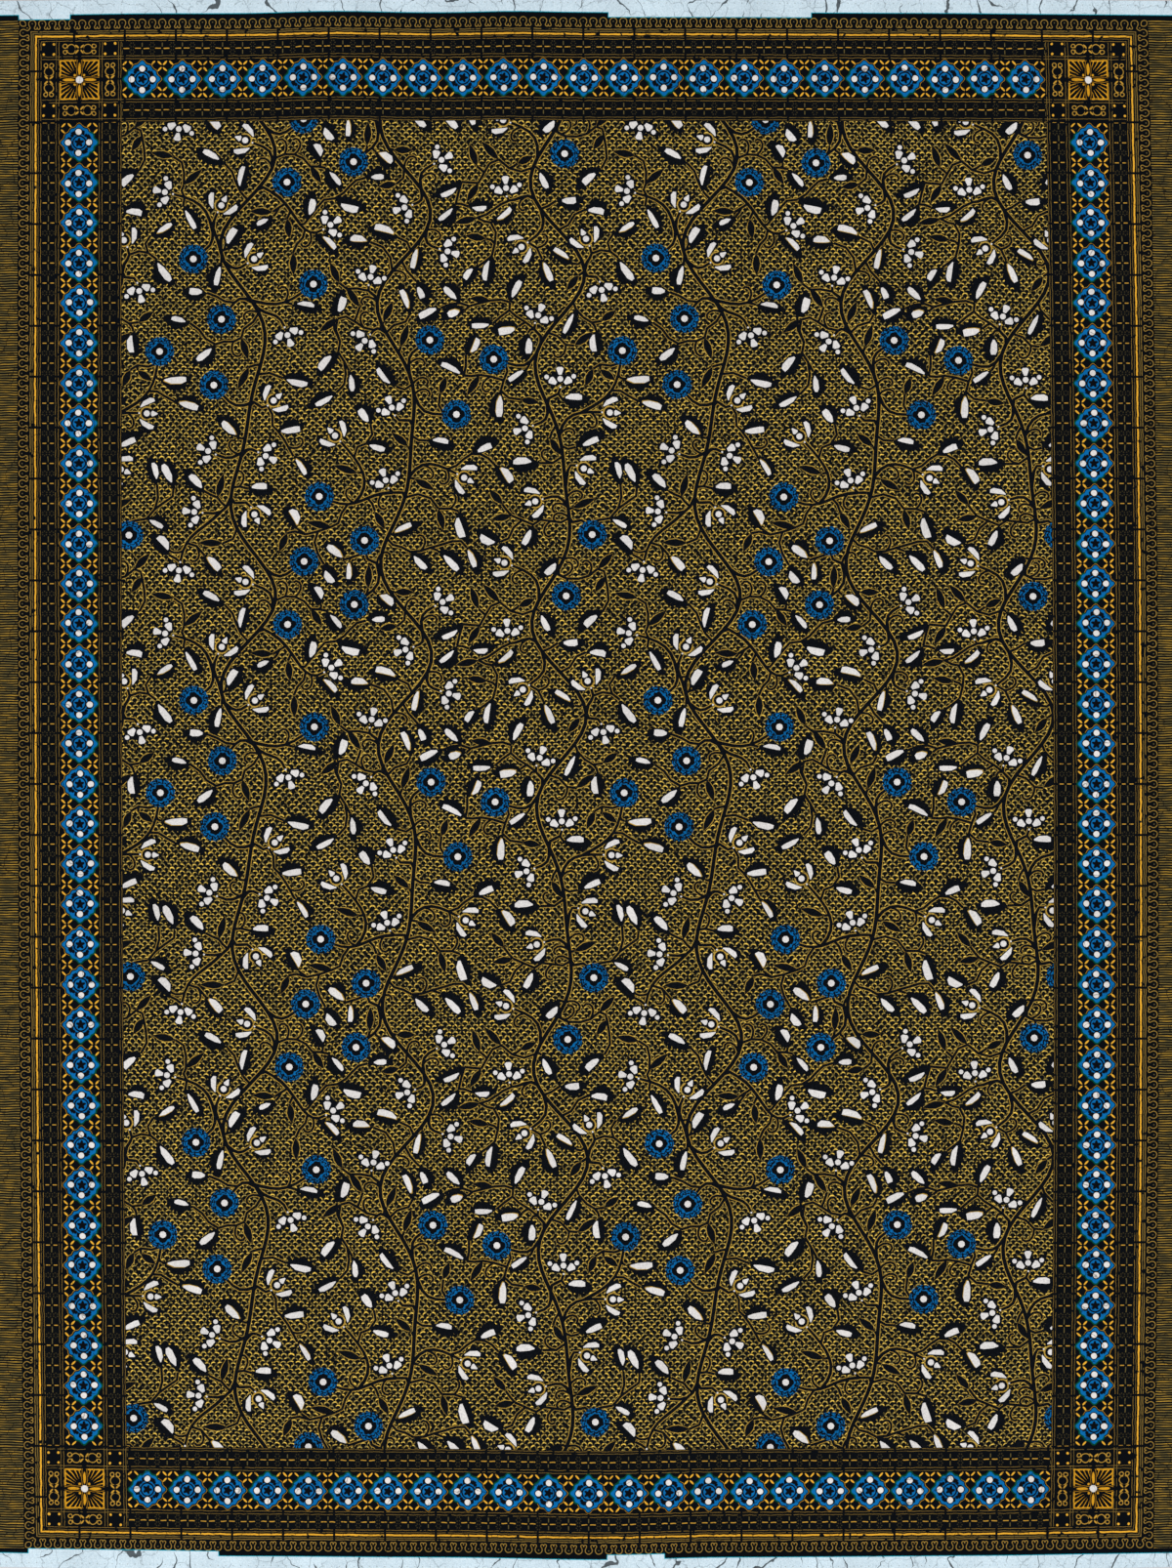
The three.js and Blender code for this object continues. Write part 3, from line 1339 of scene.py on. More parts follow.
@dataclass(frozen=True)
class Cotton:
    """How the woven cotton takes light, and the shader groups that its finishes share."""

    dyes: Dyes = Dyes()
    thread: float = 0.42
    slub: float = 1.1
    patch: float = 38.0
    weave_depth: float = 0.25
    crackle: float = 17.0
    crackle_bend: float = 9.0
    roughness: float = 0.72
    gloss: float = 0.03
    sheen: float = 0.015

    def weave_group(self) -> bpy.types.NodeTree:
        """The plain weave: threads over and under, with slubs, as a height and as shade."""
        board, given, wanted = new_group(
            "Plain weave", {"Cut": VECTOR}, {"Height": FLOAT, "Shade": FLOAT}
        )
        u, v, _ = board.parts(given["Cut"])
        turn = math.pi / self.thread
        warp, weft = (u * turn).maths("SINE"), (v * turn).maths("SINE")
        height = warp * weft
        slub = board.blur(given["Cut"], self.slub, 2.0)
        patch = board.blur(given["Cut"], self.patch, 2.0)
        shade = (slub - 0.5) * 0.5 + (patch - 0.5) * 0.35 + 1.0
        board.link(height + slub * 1.4, wanted["Height"])
        board.link(shade, wanted["Shade"])
        return board.tree

    def crackle_group(self) -> bpy.types.NodeTree:
        """Fine veins where the wax resist cracked and let the dark dye in."""
        board, given, wanted = new_group("Wax crackle", {"Cut": VECTOR}, {"Veins": FLOAT})
        bent = board.drifted(given["Cut"], given["Cut"], self.crackle_bend, self.crackle_bend, 2.0)
        cells = board.node("ShaderNodeTexVoronoi", voronoi_dimensions="2D", feature="DISTANCE_TO_EDGE")
        cells.inputs["Scale"].default_value = 1 / self.crackle
        board.link(bent, cells.inputs["Vector"])
        edge = Wire(board.tree, cells.outputs["Distance"])
        patchy = board.blur(given["Cut"], 13.0, 1.0)
        veins = edge.under(0.022, 0.02) * patchy.above(0.42)
        board.link(veins, wanted["Veins"])
        return board.tree

    def groups(self) -> dict[str, bpy.types.NodeTree]:
        """Each shared group by a short name, built once."""
        built = {}
        for label, build in (("Plain weave", self.weave_group), ("Wax crackle", self.crackle_group)):
            built[label] = bpy.data.node_groups.get(label) or build()
        return built

    def material(self, name: str, bump: float = 1.0) -> tuple[bpy.types.Material, Board, dict]:
        """Start a cotton material.

        Args:
            name: Its name.
            bump: Strength of the weave beside the usual one.

        Returns:
            The material, its board, and what the finish reads and feeds: Cut, Shade, Veins and
            Base Color.
        """
        material = bpy.data.materials.new(name)
        material.use_nodes = True
        board = Board(material.node_tree)
        shader = material.node_tree.nodes["Principled BSDF"]
        shader.inputs["Specular IOR Level"].default_value = self.gloss
        shader.inputs["Sheen Weight"].default_value = self.sheen
        shader.inputs["Sheen Roughness"].default_value = 0.6
        groups = self.groups()
        cut = board.attribute(CUT)
        weave = board.node("ShaderNodeGroup", node_tree=groups["Plain weave"])
        crackle = board.node("ShaderNodeGroup", node_tree=groups["Wax crackle"])
        board.link(cut, weave.inputs["Cut"])
        board.link(cut, crackle.inputs["Cut"])
        relief = board.node("ShaderNodeBump")
        relief.inputs["Strength"].default_value = self.weave_depth * bump
        relief.inputs["Distance"].default_value = 0.0001
        board.link(weave.outputs["Height"], relief.inputs["Height"])
        board.link(relief.outputs["Normal"], shader.inputs["Normal"])
        shade = Wire(board.tree, weave.outputs["Shade"])
        board.link(shade * 0.25 + (self.roughness - 0.25), shader.inputs["Roughness"])
        ends = {
            "Cut": cut,
            "Shade": shade,
            "Veins": Wire(board.tree, crackle.outputs["Veins"]),
            "Base Color": shader.inputs["Base Color"],
        }
        return material, board, ends

    def dyed(self, board: Board, ends: dict, colour: bpy.types.NodeSocket, veins: float) -> None:
        """Send a printed colour to the shader, with the cloth's shade and crackle on it.

        Args:
            board: The material's board.
            ends: What material() gave.
            colour: The printed colour.
            veins: How much the crackle shows.
        """
        cracked = board.mix(ends["Veins"] * veins, colour, self.dyes.navy)
        shade = board.node("ShaderNodeVectorMath", operation="SCALE")
        board.link(cracked, shade.inputs[0])
        board.link(ends["Shade"], shade.inputs["Scale"])
        board.link(shade.outputs[0], ends["Base Color"])


@dataclass(frozen=True)
class PlainInk:
    """One dye, or the undyed cotton, with the speckle it has on the cloth."""

    name: str
    colour: Dye
    speck: Dye
    amount: float = 0.5
    veins: float = 0.0
    size: float = 1.6

    def build(self, cotton: Cotton) -> bpy.types.Material:
        """Make the material."""
        material, board, ends = cotton.material(self.name)
        spots = board.blur(ends["Cut"], self.size, 2.0)
        share = (spots - 0.42) * (4 * self.amount)
        colour = board.mix(share.low(1.0).high(0.0), self.colour, self.speck)
        cotton.dyed(board, ends, colour, self.veins)
        return material


@dataclass(frozen=True)
class ScaleGround:
    """The ground of overlapping fish scales: rows of arcs, worn thin here and there."""

    pitch: float = 5.4
    row: float = 2.7
    wander: float = 9.0
    wander_size: float = 95.0
    wobble: float = 1.4
    wobble_size: float = 8.0

    def rings(self, board: Board, cut: bpy.types.NodeSocket) -> tuple[Wire, Wire]:
        """Distance from the middle of the scale that shows, as a share of its size.

        Args:
            board: Where the nodes go.
            cut: The place on the flat cut.

        Returns:
            The share, from 0 in the middle to 1 at the rim, and how far the place lies to the side
            of that middle, as a share of the scale's size too.
        """
        place = board.drifted(cut, cut, self.wander_size, self.wander, 0.0)
        place = board.drifted(place, cut, self.wobble_size, self.wobble, 0.0)
        u, v, _ = board.parts(place)
        rows = v / self.row
        row = rows.maths("FLOOR")
        rise = (rows - row) * self.row
        column = u.maths("MULTIPLY_ADD", 1 / self.pitch, row * 0.5)
        here = (column.maths("FRACT") - 0.5) * self.pitch
        above = ((column + 0.5).maths("FRACT") - 0.5) * self.pitch
        radius = self.pitch / 2
        front, behind = here.span(rise), above.span(self.row - rise)
        in_front = front.below(radius)
        distance = behind.maths("ADD", in_front * (front - behind))
        side = abs(above).maths("ADD", in_front * (abs(here) - abs(above)))
        return distance / radius, side / radius

    def build(self, cotton: Cotton) -> bpy.types.Material:
        """Make the material."""
        material, board, ends = cotton.material("field_scales")
        share, side = self.rings(board, ends["Cut"])
        arcs = board.ramp(share, [(0.0, 0.0), (0.7, 1.0), (1.04, 0.0)], 1.5)
        worn = board.blur(board.squashed(ends["Cut"], 0.55), 1.5, 0.0).over(0.28, 5.5)
        lines = arcs * side.under(0.7, 0.4) * worn
        strong = board.blur(ends["Cut"], 3.0, 2.0)
        bright = strong.over(0.4, 4.5)
        ochre = board.mix(bright, cotton.dyes.ground_olive, cotton.dyes.ground_ochre)
        colour = board.mix(lines, cotton.dyes.navy, ochre)
        cotton.dyed(board, ends, colour, 0.5)
        return material


@dataclass(frozen=True)
class FlowerInk:
    """The round flowers: rings of blue petals round a dark four-lobed heart."""

    rings: tuple[Point, ...] = ((5.2, 6.6), (7.6, 8.9), (9.7, 12.4))
    heart: float = 6.4
    lobe: float = 1.4
    petal: float = 1.3
    rag: float = 2.4

    def build(self, cotton: Cotton) -> bpy.types.Material:
        """Make the material."""
        material, board, ends = cotton.material("flower_blue")
        x, y, seed = board.parts(board.attribute(MOTIF))
        radius = x.span(y)
        turn = y.maths("ARCTAN2", x)
        lobes = abs(turn.wave(2.0))
        petals = abs((turn * 6.0 + seed).maths("COSINE"))
        outer = radius.over(self.heart, 0.8)
        ragged = board.blur(ends["Cut"], 2.4, 1.0) - 0.5
        reach = radius - lobes * (1.0 - outer) * self.lobe - petals * outer * self.petal
        stops = [(0.0, 0.0)]
        for ring_start, ring_end in self.rings:
            stops += [(ring_start, 1.0), (ring_end, 0.0)]
        rings = board.ramp(reach + ragged * self.rag, stops, self.rings[-1][1])
        beads = (turn * 12.0 + seed).maths("COSINE") * (radius * 2.9).maths("SINE")
        slits = (petals + ragged).above(0.36)
        holes = (beads.under(0.55, 0.3) * slits).high(1.0 - outer)
        tone = board.blur(ends["Cut"], 5.0, 2.0)
        blue = board.mix(tone.under(0.45, 0.4), cotton.dyes.blue, cotton.dyes.flower_blue)
        colour = board.mix(rings * holes, cotton.dyes.navy, blue)
        cotton.dyed(board, ends, colour, 0.3)
        return material


@dataclass(frozen=True)
class RuledLine:
    """A ruled line: how far it lies inside the frame line, half its width, and its strength."""

    inward: float
    half: float
    strength: float


@dataclass(frozen=True)
class Medallion:
    """A blue medallion, in millimetres from its middle, whose four undyed dots sit a little off."""

    tip: float = 2.0
    scallop: float = 0.5
    body: float = 11.6
    gap: float = 12.5
    outline: float = 12.7
    outline_half: float = 0.1
    ring: float = 5.0
    ring_half: float = 0.6
    star: float = 3.0
    star_point: float = 0.8
    strokes: float = 8.2
    strokes_half: float = 1.7
    knot_at: float = 5.4
    knot: float = 1.4
    dot_at: float = 8.2
    dot_rim: float = 3.1
    dot: float = 2.3
    jiggle: float = 1.4

    def over(
        self, board: Board, colour: bpy.types.NodeSocket, dyes: Dyes, x: Wire, y: Wire, number: Wire
    ) -> bpy.types.NodeSocket:
        """Print the medallion over the border's ground.

        Args:
            board: Where the nodes go.
            colour: The ground.
            dyes: The dyes.
            x: Place along the border, from the medallion's middle.
            y: Place across the border, from its middle.
            number: Which medallion it is.

        Returns:
            The colour with the medallion on it.
        """
        chance = board.node("ShaderNodeTexWhiteNoise", noise_dimensions="1D")
        board.link(number, chance.inputs["W"])
        off_x, off_y, _ = board.parts(chance.outputs["Color"])

        radius, turn = x.span(y), y.maths("ARCTAN2", x)
        tips = abs(turn.wave(2.0)).maths("POWER", 7.0)
        lobes = turn.wave(12.0)
        reach = radius - tips * self.tip - lobes * self.scallop
        body = reach.under(self.body, 0.3)
        gap = reach.under(self.gap, 0.3)
        outline = reach.near(self.outline, self.outline_half)

        ring = radius.near(self.ring, self.ring_half)
        star = (radius - turn.wave(5.0) * self.star_point).under(self.star)
        strokes = (turn * 8.0 + radius * 0.45).maths("COSINE").above(-0.1)
        strokes = strokes * radius.near(self.strokes, self.strokes_half)
        knots = (abs(x) - self.knot_at).span(abs(y) - self.knot_at).under(self.knot)
        marks = ring.high(star).high(strokes).high(knots)

        dot_x, dot_y = abs(x + (off_x - 0.5) * self.jiggle), abs(y + (off_y - 0.5) * self.jiggle)
        dot = (dot_x.high(dot_y) - self.dot_at).span(dot_x.low(dot_y))

        green = (x - y).below(0.0)
        printed = board.mix(gap, colour, dyes.navy)
        printed = board.mix(outline, printed, board.mix(green, dyes.ochre, dyes.green))
        printed = board.mix(gap * green * 0.7, printed, dyes.green)
        printed = board.mix(body, printed, dyes.blue)
        printed = board.mix(marks * body, printed, dyes.navy)
        printed = board.mix(dot.under(self.dot_rim), printed, dyes.navy)
        return board.mix(dot.under(self.dot), printed, dyes.white)


@dataclass(frozen=True)
class BorderInk:
    """The border: ruled lines, an edge scroll, crosses and rosettes, and a row of medallions."""

    frame_u: float = 426.9
    frame_v: float = 583.1
    pitch: float = 31.25
    band: float = 34.2
    cross_band: float = 23.95
    gap_pitch: float = 39.7
    shiver: float = 0.9
    frame_lines: tuple[RuledLine, ...] = (
        RuledLine(-3.66, 0.22, 0.4),
        RuledLine(-2.06, 0.22, 0.34),
        RuledLine(0.0, 0.6, 1.0),
        RuledLine(2.06, 0.22, 0.4),
        RuledLine(4.08, 0.22, 0.46),
    )
    inner_lines: tuple[RuledLine, ...] = (
        RuledLine(15.85, 0.17, 0.4),
        RuledLine(18.06, 0.17, 0.44),
        RuledLine(49.7, 0.17, 0.38),
        RuledLine(51.7, 0.17, 0.44),
        RuledLine(64.6, 0.17, 0.38),
        RuledLine(66.6, 0.17, 0.42),
    )
    cross_strong: float = 0.8
    cross_weak: float = 0.26
    cross_half: float = 0.34
    petal_long: float = 2.1
    petal_slim: float = 0.68
    medallion: Medallion = Medallion()

    def ruled(self, board: Board, inward: Wire, lines: tuple[RuledLine, ...]) -> Wire:
        """The strength of ruled lines.

        Args:
            board: Where the nodes go.
            inward: Distance inward from the frame line.
            lines: The lines, from the outermost.

        Returns:
            The strength of the line that runs there, and 0 between the lines.
        """
        outside, reach = 6.0, 80.0
        stops = [(0.0, 0.0)]
        for line in lines:
            stops.append((line.inward - line.half + outside, line.strength))
            stops.append((line.inward + line.half + outside, 0.0))
        return board.ramp(inward + outside, stops, reach)

    def lines_group(self) -> bpy.types.NodeTree:
        """The ruled lines and the scroll, which border and corners share."""
        board, given, wanted = new_group(
            "Ruled lines", {"Cut": VECTOR}, {"Ochre": FLOAT, "Inward U": FLOAT, "Inward V": FLOAT}
        )
        shiver = board.noise(given["Cut"], 5.5, 1.0)
        shake_u, shake_v, breaks = board.parts(shiver.outputs["Color"])
        u, v, _ = board.parts(given["Cut"])
        inward_u = self.frame_u - abs(u) + (shake_u - 0.5) * self.shiver
        inward_v = self.frame_v - abs(v) + (shake_v - 0.5) * self.shiver
        inward = inward_u.low(inward_v)
        frame = self.ruled(board, inward, self.frame_lines)
        within = inward.above(5.0)
        inner = self.ruled(board, inward_u, self.inner_lines)
        inner = inner.high(self.ruled(board, inward_v, self.inner_lines)) * within
        row = inward_v.below(inward_u)
        along = v + row * (u - v)
        whole = breaks.under(0.7, 0.05) * along.fold(self.gap_pitch).above(0.9)
        scroll = self.scroll(along, inward)
        board.link((frame.high(inner) * whole).high(scroll), wanted["Ochre"])
        board.link(inward_u, wanted["Inward U"])
        board.link(inward_v, wanted["Inward V"])
        return board.tree

    def placed_lines(self, board: Board, cut: bpy.types.NodeSocket) -> tuple[Wire, Wire, Wire]:
        """Place the group of ruled lines in a material.

        Args:
            board: Where the nodes go.
            cut: The place on the flat cut.

        Returns:
            The lines' ochre, and the distance inward from the frame line along U and along V.
        """
        group = bpy.data.node_groups.get("Ruled lines") or self.lines_group()
        placed = board.node("ShaderNodeGroup", node_tree=group)
        board.link(cut, placed.inputs["Cut"])
        return tuple(Wire(board.tree, socket) for socket in placed.outputs)

    def scroll(self, along: Wire, inward: Wire) -> Wire:
        """The scroll outside the frame lines: a row of open loops on curled feet.

        Args:
            along: The place along the border.
            inward: Distance inward from the frame line.

        Returns:
            1 on the scroll's line.
        """
        side = along.fold(self.pitch / 4)
        out = 0.0 - inward
        line, loop, curl = 0.27, 2.75, 1.1
        arch = side.span(out - 9.7).near(loop, line) * out.above(8.3)
        foot = (side - loop).span(out - 6.6).near(curl, line) * out.below(7.1)
        waist = (side - out * 0.62 + 2.72).near(0.0, line) * out.near(7.7, 0.75, 0.1)
        dot = side.span(out - 9.9).under(0.45)
        return arch.high(foot).high(waist) * 0.55 + dot * 0.3

    def build(self, cotton: Cotton) -> bpy.types.Material:
        """Make the border's material."""
        material, board, ends = cotton.material("border_print")
        dyes = cotton.dyes
        lines, inward_u, inward_v = self.placed_lines(board, ends["Cut"])
        u, v, _ = board.parts(ends["Cut"])
        row = inward_v.below(inward_u)
        across = inward_u.low(inward_v)
        along = v + row * (u - v)
        place = along.fold(self.pitch)
        rise = abs(across - self.band)

        cross = self.crosses(along, across, row)
        petals = self.petals(place, rise)
        ochre = lines.high(cross).high(petals)
        colour = self.inked(board, ochre, dyes)
        x, y = along.maths("WRAP", self.pitch / 2, -self.pitch / 2), across - self.band
        number = (along - x) / self.pitch + row * 40.0  # so that no two sides have the same numbers
        colour = self.medallion.over(board, colour, dyes, x, y, number)
        cotton.dyed(board, ends, colour, 0.55)
        return material

    def inked(self, board: Board, ochre: Wire, dyes: Dyes) -> bpy.types.NodeSocket:
        """Turn the strength of the ochre into colour: olive where it is thin, and bright where full.

        Args:
            board: Where the nodes go.
            ochre: The strength, from 0 to 1.
            dyes: The dyes.

        Returns:
            The colour on the navy ground.
        """
        full = ochre.over(0.3, 1.45)
        tone = board.mix(full, dyes.olive, dyes.ochre)
        return board.mix(ochre.maths("MULTIPLY", 3.6, clamp=True), dyes.navy, tone)

    def crosses(self, along: Wire, across: Wire, row: Wire) -> Wire:
        """Broken crosses, and pairs of dotted rosettes between them, in both cross bands.

        Args:
            along: The place along the border.
            across: Distance inward from the frame line.
            row: 1 where the border runs along U.

        Returns:
            Strength of the ochre.
        """
        side = along.fold(self.pitch / 2)
        rise = abs(abs(across - self.band) - self.cross_band)
        along_arm = side.near(3.3, 2.2) * rise.under(self.cross_half)
        across_arm = rise.near(2.9, 1.5) * side.under(self.cross_half)
        strong, weak = self.cross_strong, self.cross_weak
        arms = (along_arm * (row * (strong - weak) + weak)).high(
            across_arm * (row * (weak - strong) + strong)
        )
        x, y = side - self.pitch / 4, rise - 2.7
        ring = x.span(y)
        turn = y.maths("ARCTAN2", x)
        dots = turn.wave(6.0).above(0.1) * ring.near(1.7, 0.5)
        return arms.high(dots * 0.08)

    def petals(self, place: Wire, rise: Wire) -> Wire:
        """Slanting ochre petals in the corners that the medallions leave.

        Args:
            place: Distance along the border from the middle of the medallion.
            rise: Distance across the border from that middle.

        Returns:
            1 on a petal.
        """
        side = self.pitch / 2 - place
        root = math.sqrt(0.5)
        plus, minus = (side + rise) * root - 10.35, (side - rise) * root

        def petal(along: Wire, across: Wire) -> Wire:
            """One leaf-shaped spot."""
            return (along / self.petal_long).span(across / self.petal_slim).under(1.0, 0.25)

        outer = petal(plus, minus + 7.42)
        inner = petal(minus + 3.96, abs(plus) - 3.47)
        return outer.high(inner)


@dataclass(frozen=True)
class CornerInk:
    """The corner blocks: a dark palmette on an ochre square, scrolled panels and dotted squares."""

    border: BorderInk = BorderInk()
    square: float = 15.4
    dot_square: float = 5.6
    dot_at: float = 3.9
    dot: float = 0.95
    rays: float = 32.0
    ray_start: float = 8.5
    ray_widening: float = 0.045
    ray_stop: float = 14.4
    petal_at: float = 8.4
    petal_long: float = 5.0
    petal_slim: float = 1.25
    bud_at: float = 3.6
    bud: float = 0.9
    eye: float = 2.75

    def build(self, cotton: Cotton) -> bpy.types.Material:
        """Make the material."""
        material, board, ends = cotton.material("corner_print")
        dyes = cotton.dyes
        lines, inward_u, inward_v = self.border.placed_lines(board, ends["Cut"])
        x, y = inward_u - self.border.band, inward_v - self.border.band
        far_u, far_v = abs(abs(x) - self.border.cross_band), abs(abs(y) - self.border.cross_band)

        dots = (far_u - self.dot_at).span(far_v - self.dot_at).under(self.dot)
        inside = far_u.high(far_v).under(self.dot_square, 0.1)
        panels = self.arabesque(abs(x), far_v).high(self.arabesque(abs(y), far_u))
        ochre = lines.high(dots * inside).high(panels * 0.7)
        colour = self.border.inked(board, ochre, dyes)

        wide, slim = abs(x).high(abs(y)), abs(x).low(abs(y))
        block = wide.under(self.square, 0.2)
        colour = board.mix(block, colour, dyes.block_ochre)
        radius, turn = x.span(y), y.maths("ARCTAN2", x)
        teeth = turn.wave(self.rays) + 1.0
        rays = (teeth - (radius - self.ray_start) * self.ray_widening).above(0.0)
        rays = rays * wide.under(self.ray_stop, 0.3)
        colour = board.mix(rays * block, colour, dyes.navy)
        petal = ((wide - self.petal_at) / self.petal_long).span(slim / self.petal_slim)
        colour = board.mix(petal.under(2.3, 0.1), colour, dyes.navy)
        colour = board.mix(petal.near(1.78, 0.08, 0.1) * block, colour, dyes.block_ochre)
        colour = board.mix(petal.under(0.9, 0.2), colour, dyes.block_ochre)
        bud = (abs(x) - self.bud_at).span(abs(y) - self.bud_at).under(self.bud)
        colour = board.mix(bud, colour, dyes.block_ochre)
        colour = board.mix(radius.under(self.eye), colour, dyes.white)
        cotton.dyed(board, ends, colour, 0.35)
        return material

    def arabesque(self, along: Wire, across: Wire) -> Wire:
        """A mirrored scroll that fills a side panel.

        Args:
            along: Distance along the panel from its middle.
            across: Distance across it from its middle.

        Returns:
            1 on the scroll.
        """
        root = math.sqrt(0.5)
        petal = ((along + across) * root - 2.9).maths("DIVIDE", 1.9)
        petal = petal.span(((along - across) * root) / 0.68).under(1.0, 0.25)
        sweep = (along - 6.4).span(across - 0.3).near(3.3, 0.3)
        sweep = sweep * across.above(0.6) * along.above(3.2)
        hook = (along - 11.3).span(across - 2.3).near(1.5, 0.3)
        return petal.high(sweep.high(hook) * along.below(13.6))


@dataclass(frozen=True)
class StripeInk:
    """The striped end bands: fine ochre pinstripes across the cloth's length."""

    period: float = 1.94
    start: float = 441.4
    stop_v: float = 596.0

    def build(self, cotton: Cotton) -> bpy.types.Material:
        """Make the material."""
        material, board, ends = cotton.material("end_stripes")
        dyes = cotton.dyes
        u, v, _ = board.parts(ends["Cut"])
        waver = board.blur(ends["Cut"], 14.0, 2.0)
        stripe = (v + waver * 1.2).fold(self.period).under(0.34, 0.2)
        ragged = board.blur(ends["Cut"], 2.2, 1.0)
        starts = (abs(u) + ragged * 2.0).above(self.start)
        within = abs(v).below(self.stop_v)
        strength = board.blur(board.squashed(ends["Cut"], 0.18), 2.4, 1.0)
        bright = strength.over(0.42, 3.0)
        tone = board.mix(bright, dyes.olive, dyes.field_ochre)
        colour = board.mix(stripe * starts * within, dyes.navy, tone)
        cotton.dyed(board, ends, colour, 0.7)
        return material


@dataclass(frozen=True)
class SelvedgeInk:
    """The undyed self-edge: close warp ribs, pin holes, dark veins and a fringe of blue dye."""

    pin_row: float = 607.2
    pin_pitch: float = 5.9
    crack_pitch: float = 19.0

    def cracks(self, board: Board, cut: bpy.types.NodeSocket) -> Wire:
        """Cracks in the wax that run across the edge, some of them wide.

        Args:
            board: Where the nodes go.
            cut: The place on the flat cut.

        Returns:
            1 in a crack.
        """
        u, _, _ = board.parts(cut)
        spread, bend = board.blur(cut, 47.0, 1.0), board.blur(cut, 6.0, 1.0)
        width = board.blur(cut, 23.0, 1.0)
        place = u + spread * 70.0 + bend * 5.0
        return (place.fold(self.crack_pitch) + (width - 0.5) * -4.0).under(0.35, 0.25)

    def build(self, cotton: Cotton) -> bpy.types.Material:
        """Make the material."""
        material, board, ends = cotton.material("selvedge", bump=2.0)
        dyes = cotton.dyes
        u, v, _ = board.parts(ends["Cut"])
        cross = abs(v)
        speck = board.blur(ends["Cut"], 2.6, 3.0)
        worn = speck.over(0.45, 2.5)
        pale = board.mix(worn * 0.6, dyes.selvedge, dyes.selvedge_worn)
        ribs = (cross * 5.2).maths("SINE").maths("MULTIPLY_ADD", 0.1, 0.1)
        pale = board.mix(ribs, pale, dyes.selvedge_worn)
        pins = u.fold(self.pin_pitch).span(cross - self.pin_row).under(0.42)
        pale = board.mix(pins * 0.5, pale, dyes.olive)
        colour = board.mix(self.cracks(board, ends["Cut"]) * 0.85, pale, dyes.navy)
        cotton.dyed(board, ends, colour, 0.3)
        return material


# --------------------------------------------------------------------------------------------------
# Pieces
# --------------------------------------------------------------------------------------------------


@dataclass
class Piece:
    """What the cloth and its selvedges have in common."""

    lay: Lay
    cotton: Cotton
    wall: float = 0.55

    def laid(self, build: bmesh.types.BMesh, name: str) -> bpy.types.Object:
        """Lay a piece on the table that was built on its flat cut.

        Args:
            build: The flat piece in millimetres, whose Z is the height over its underside.
            name: The piece's name.

        Returns:
            The piece.
        """
        middle = self.lay.middle()
        build.normal_update()
        build.verts.index_update()
        cut: list[float] = []
        facing: list[Vector] = []
        for point in build.verts:
            u, v, rise = point.co
            cut += (u, v, rise)
            facing.append(self.lay.facing(u, v))
            point.co = self.lay.place(u, v, rise, middle)
        shading: list[Vector] = []
        for face in build.faces:
            up = round(face.normal.z)
            for corner in face.loops:
                shading.append(facing[corner.vert.index] * up if up else face.normal)
        mesh = bpy.data.meshes.new(name)
        build.to_mesh(mesh)
        build.free()
        mesh.attributes.new(CUT, "FLOAT_VECTOR", "POINT").data.foreach_set("vector", cut)
        mesh.normals_split_custom_set(shading)
        piece = bpy.data.objects.new(name, mesh)
        bpy.context.scene.collection.objects.link(piece)
        return piece

    def finish(self, piece: bpy.types.Object, node: str, slot: str, flat: Point) -> None:
        """Hang a piece on the root body and hide the solid that it stands for.

        Args:
            piece: The piece.
            node: The solid it stands for.
            slot: Not used.
            flat: Not used.
        """
        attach(piece, "root")
        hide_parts(node)
        LOG.info("%s: %d faces", piece.name, len(piece.data.polygons))


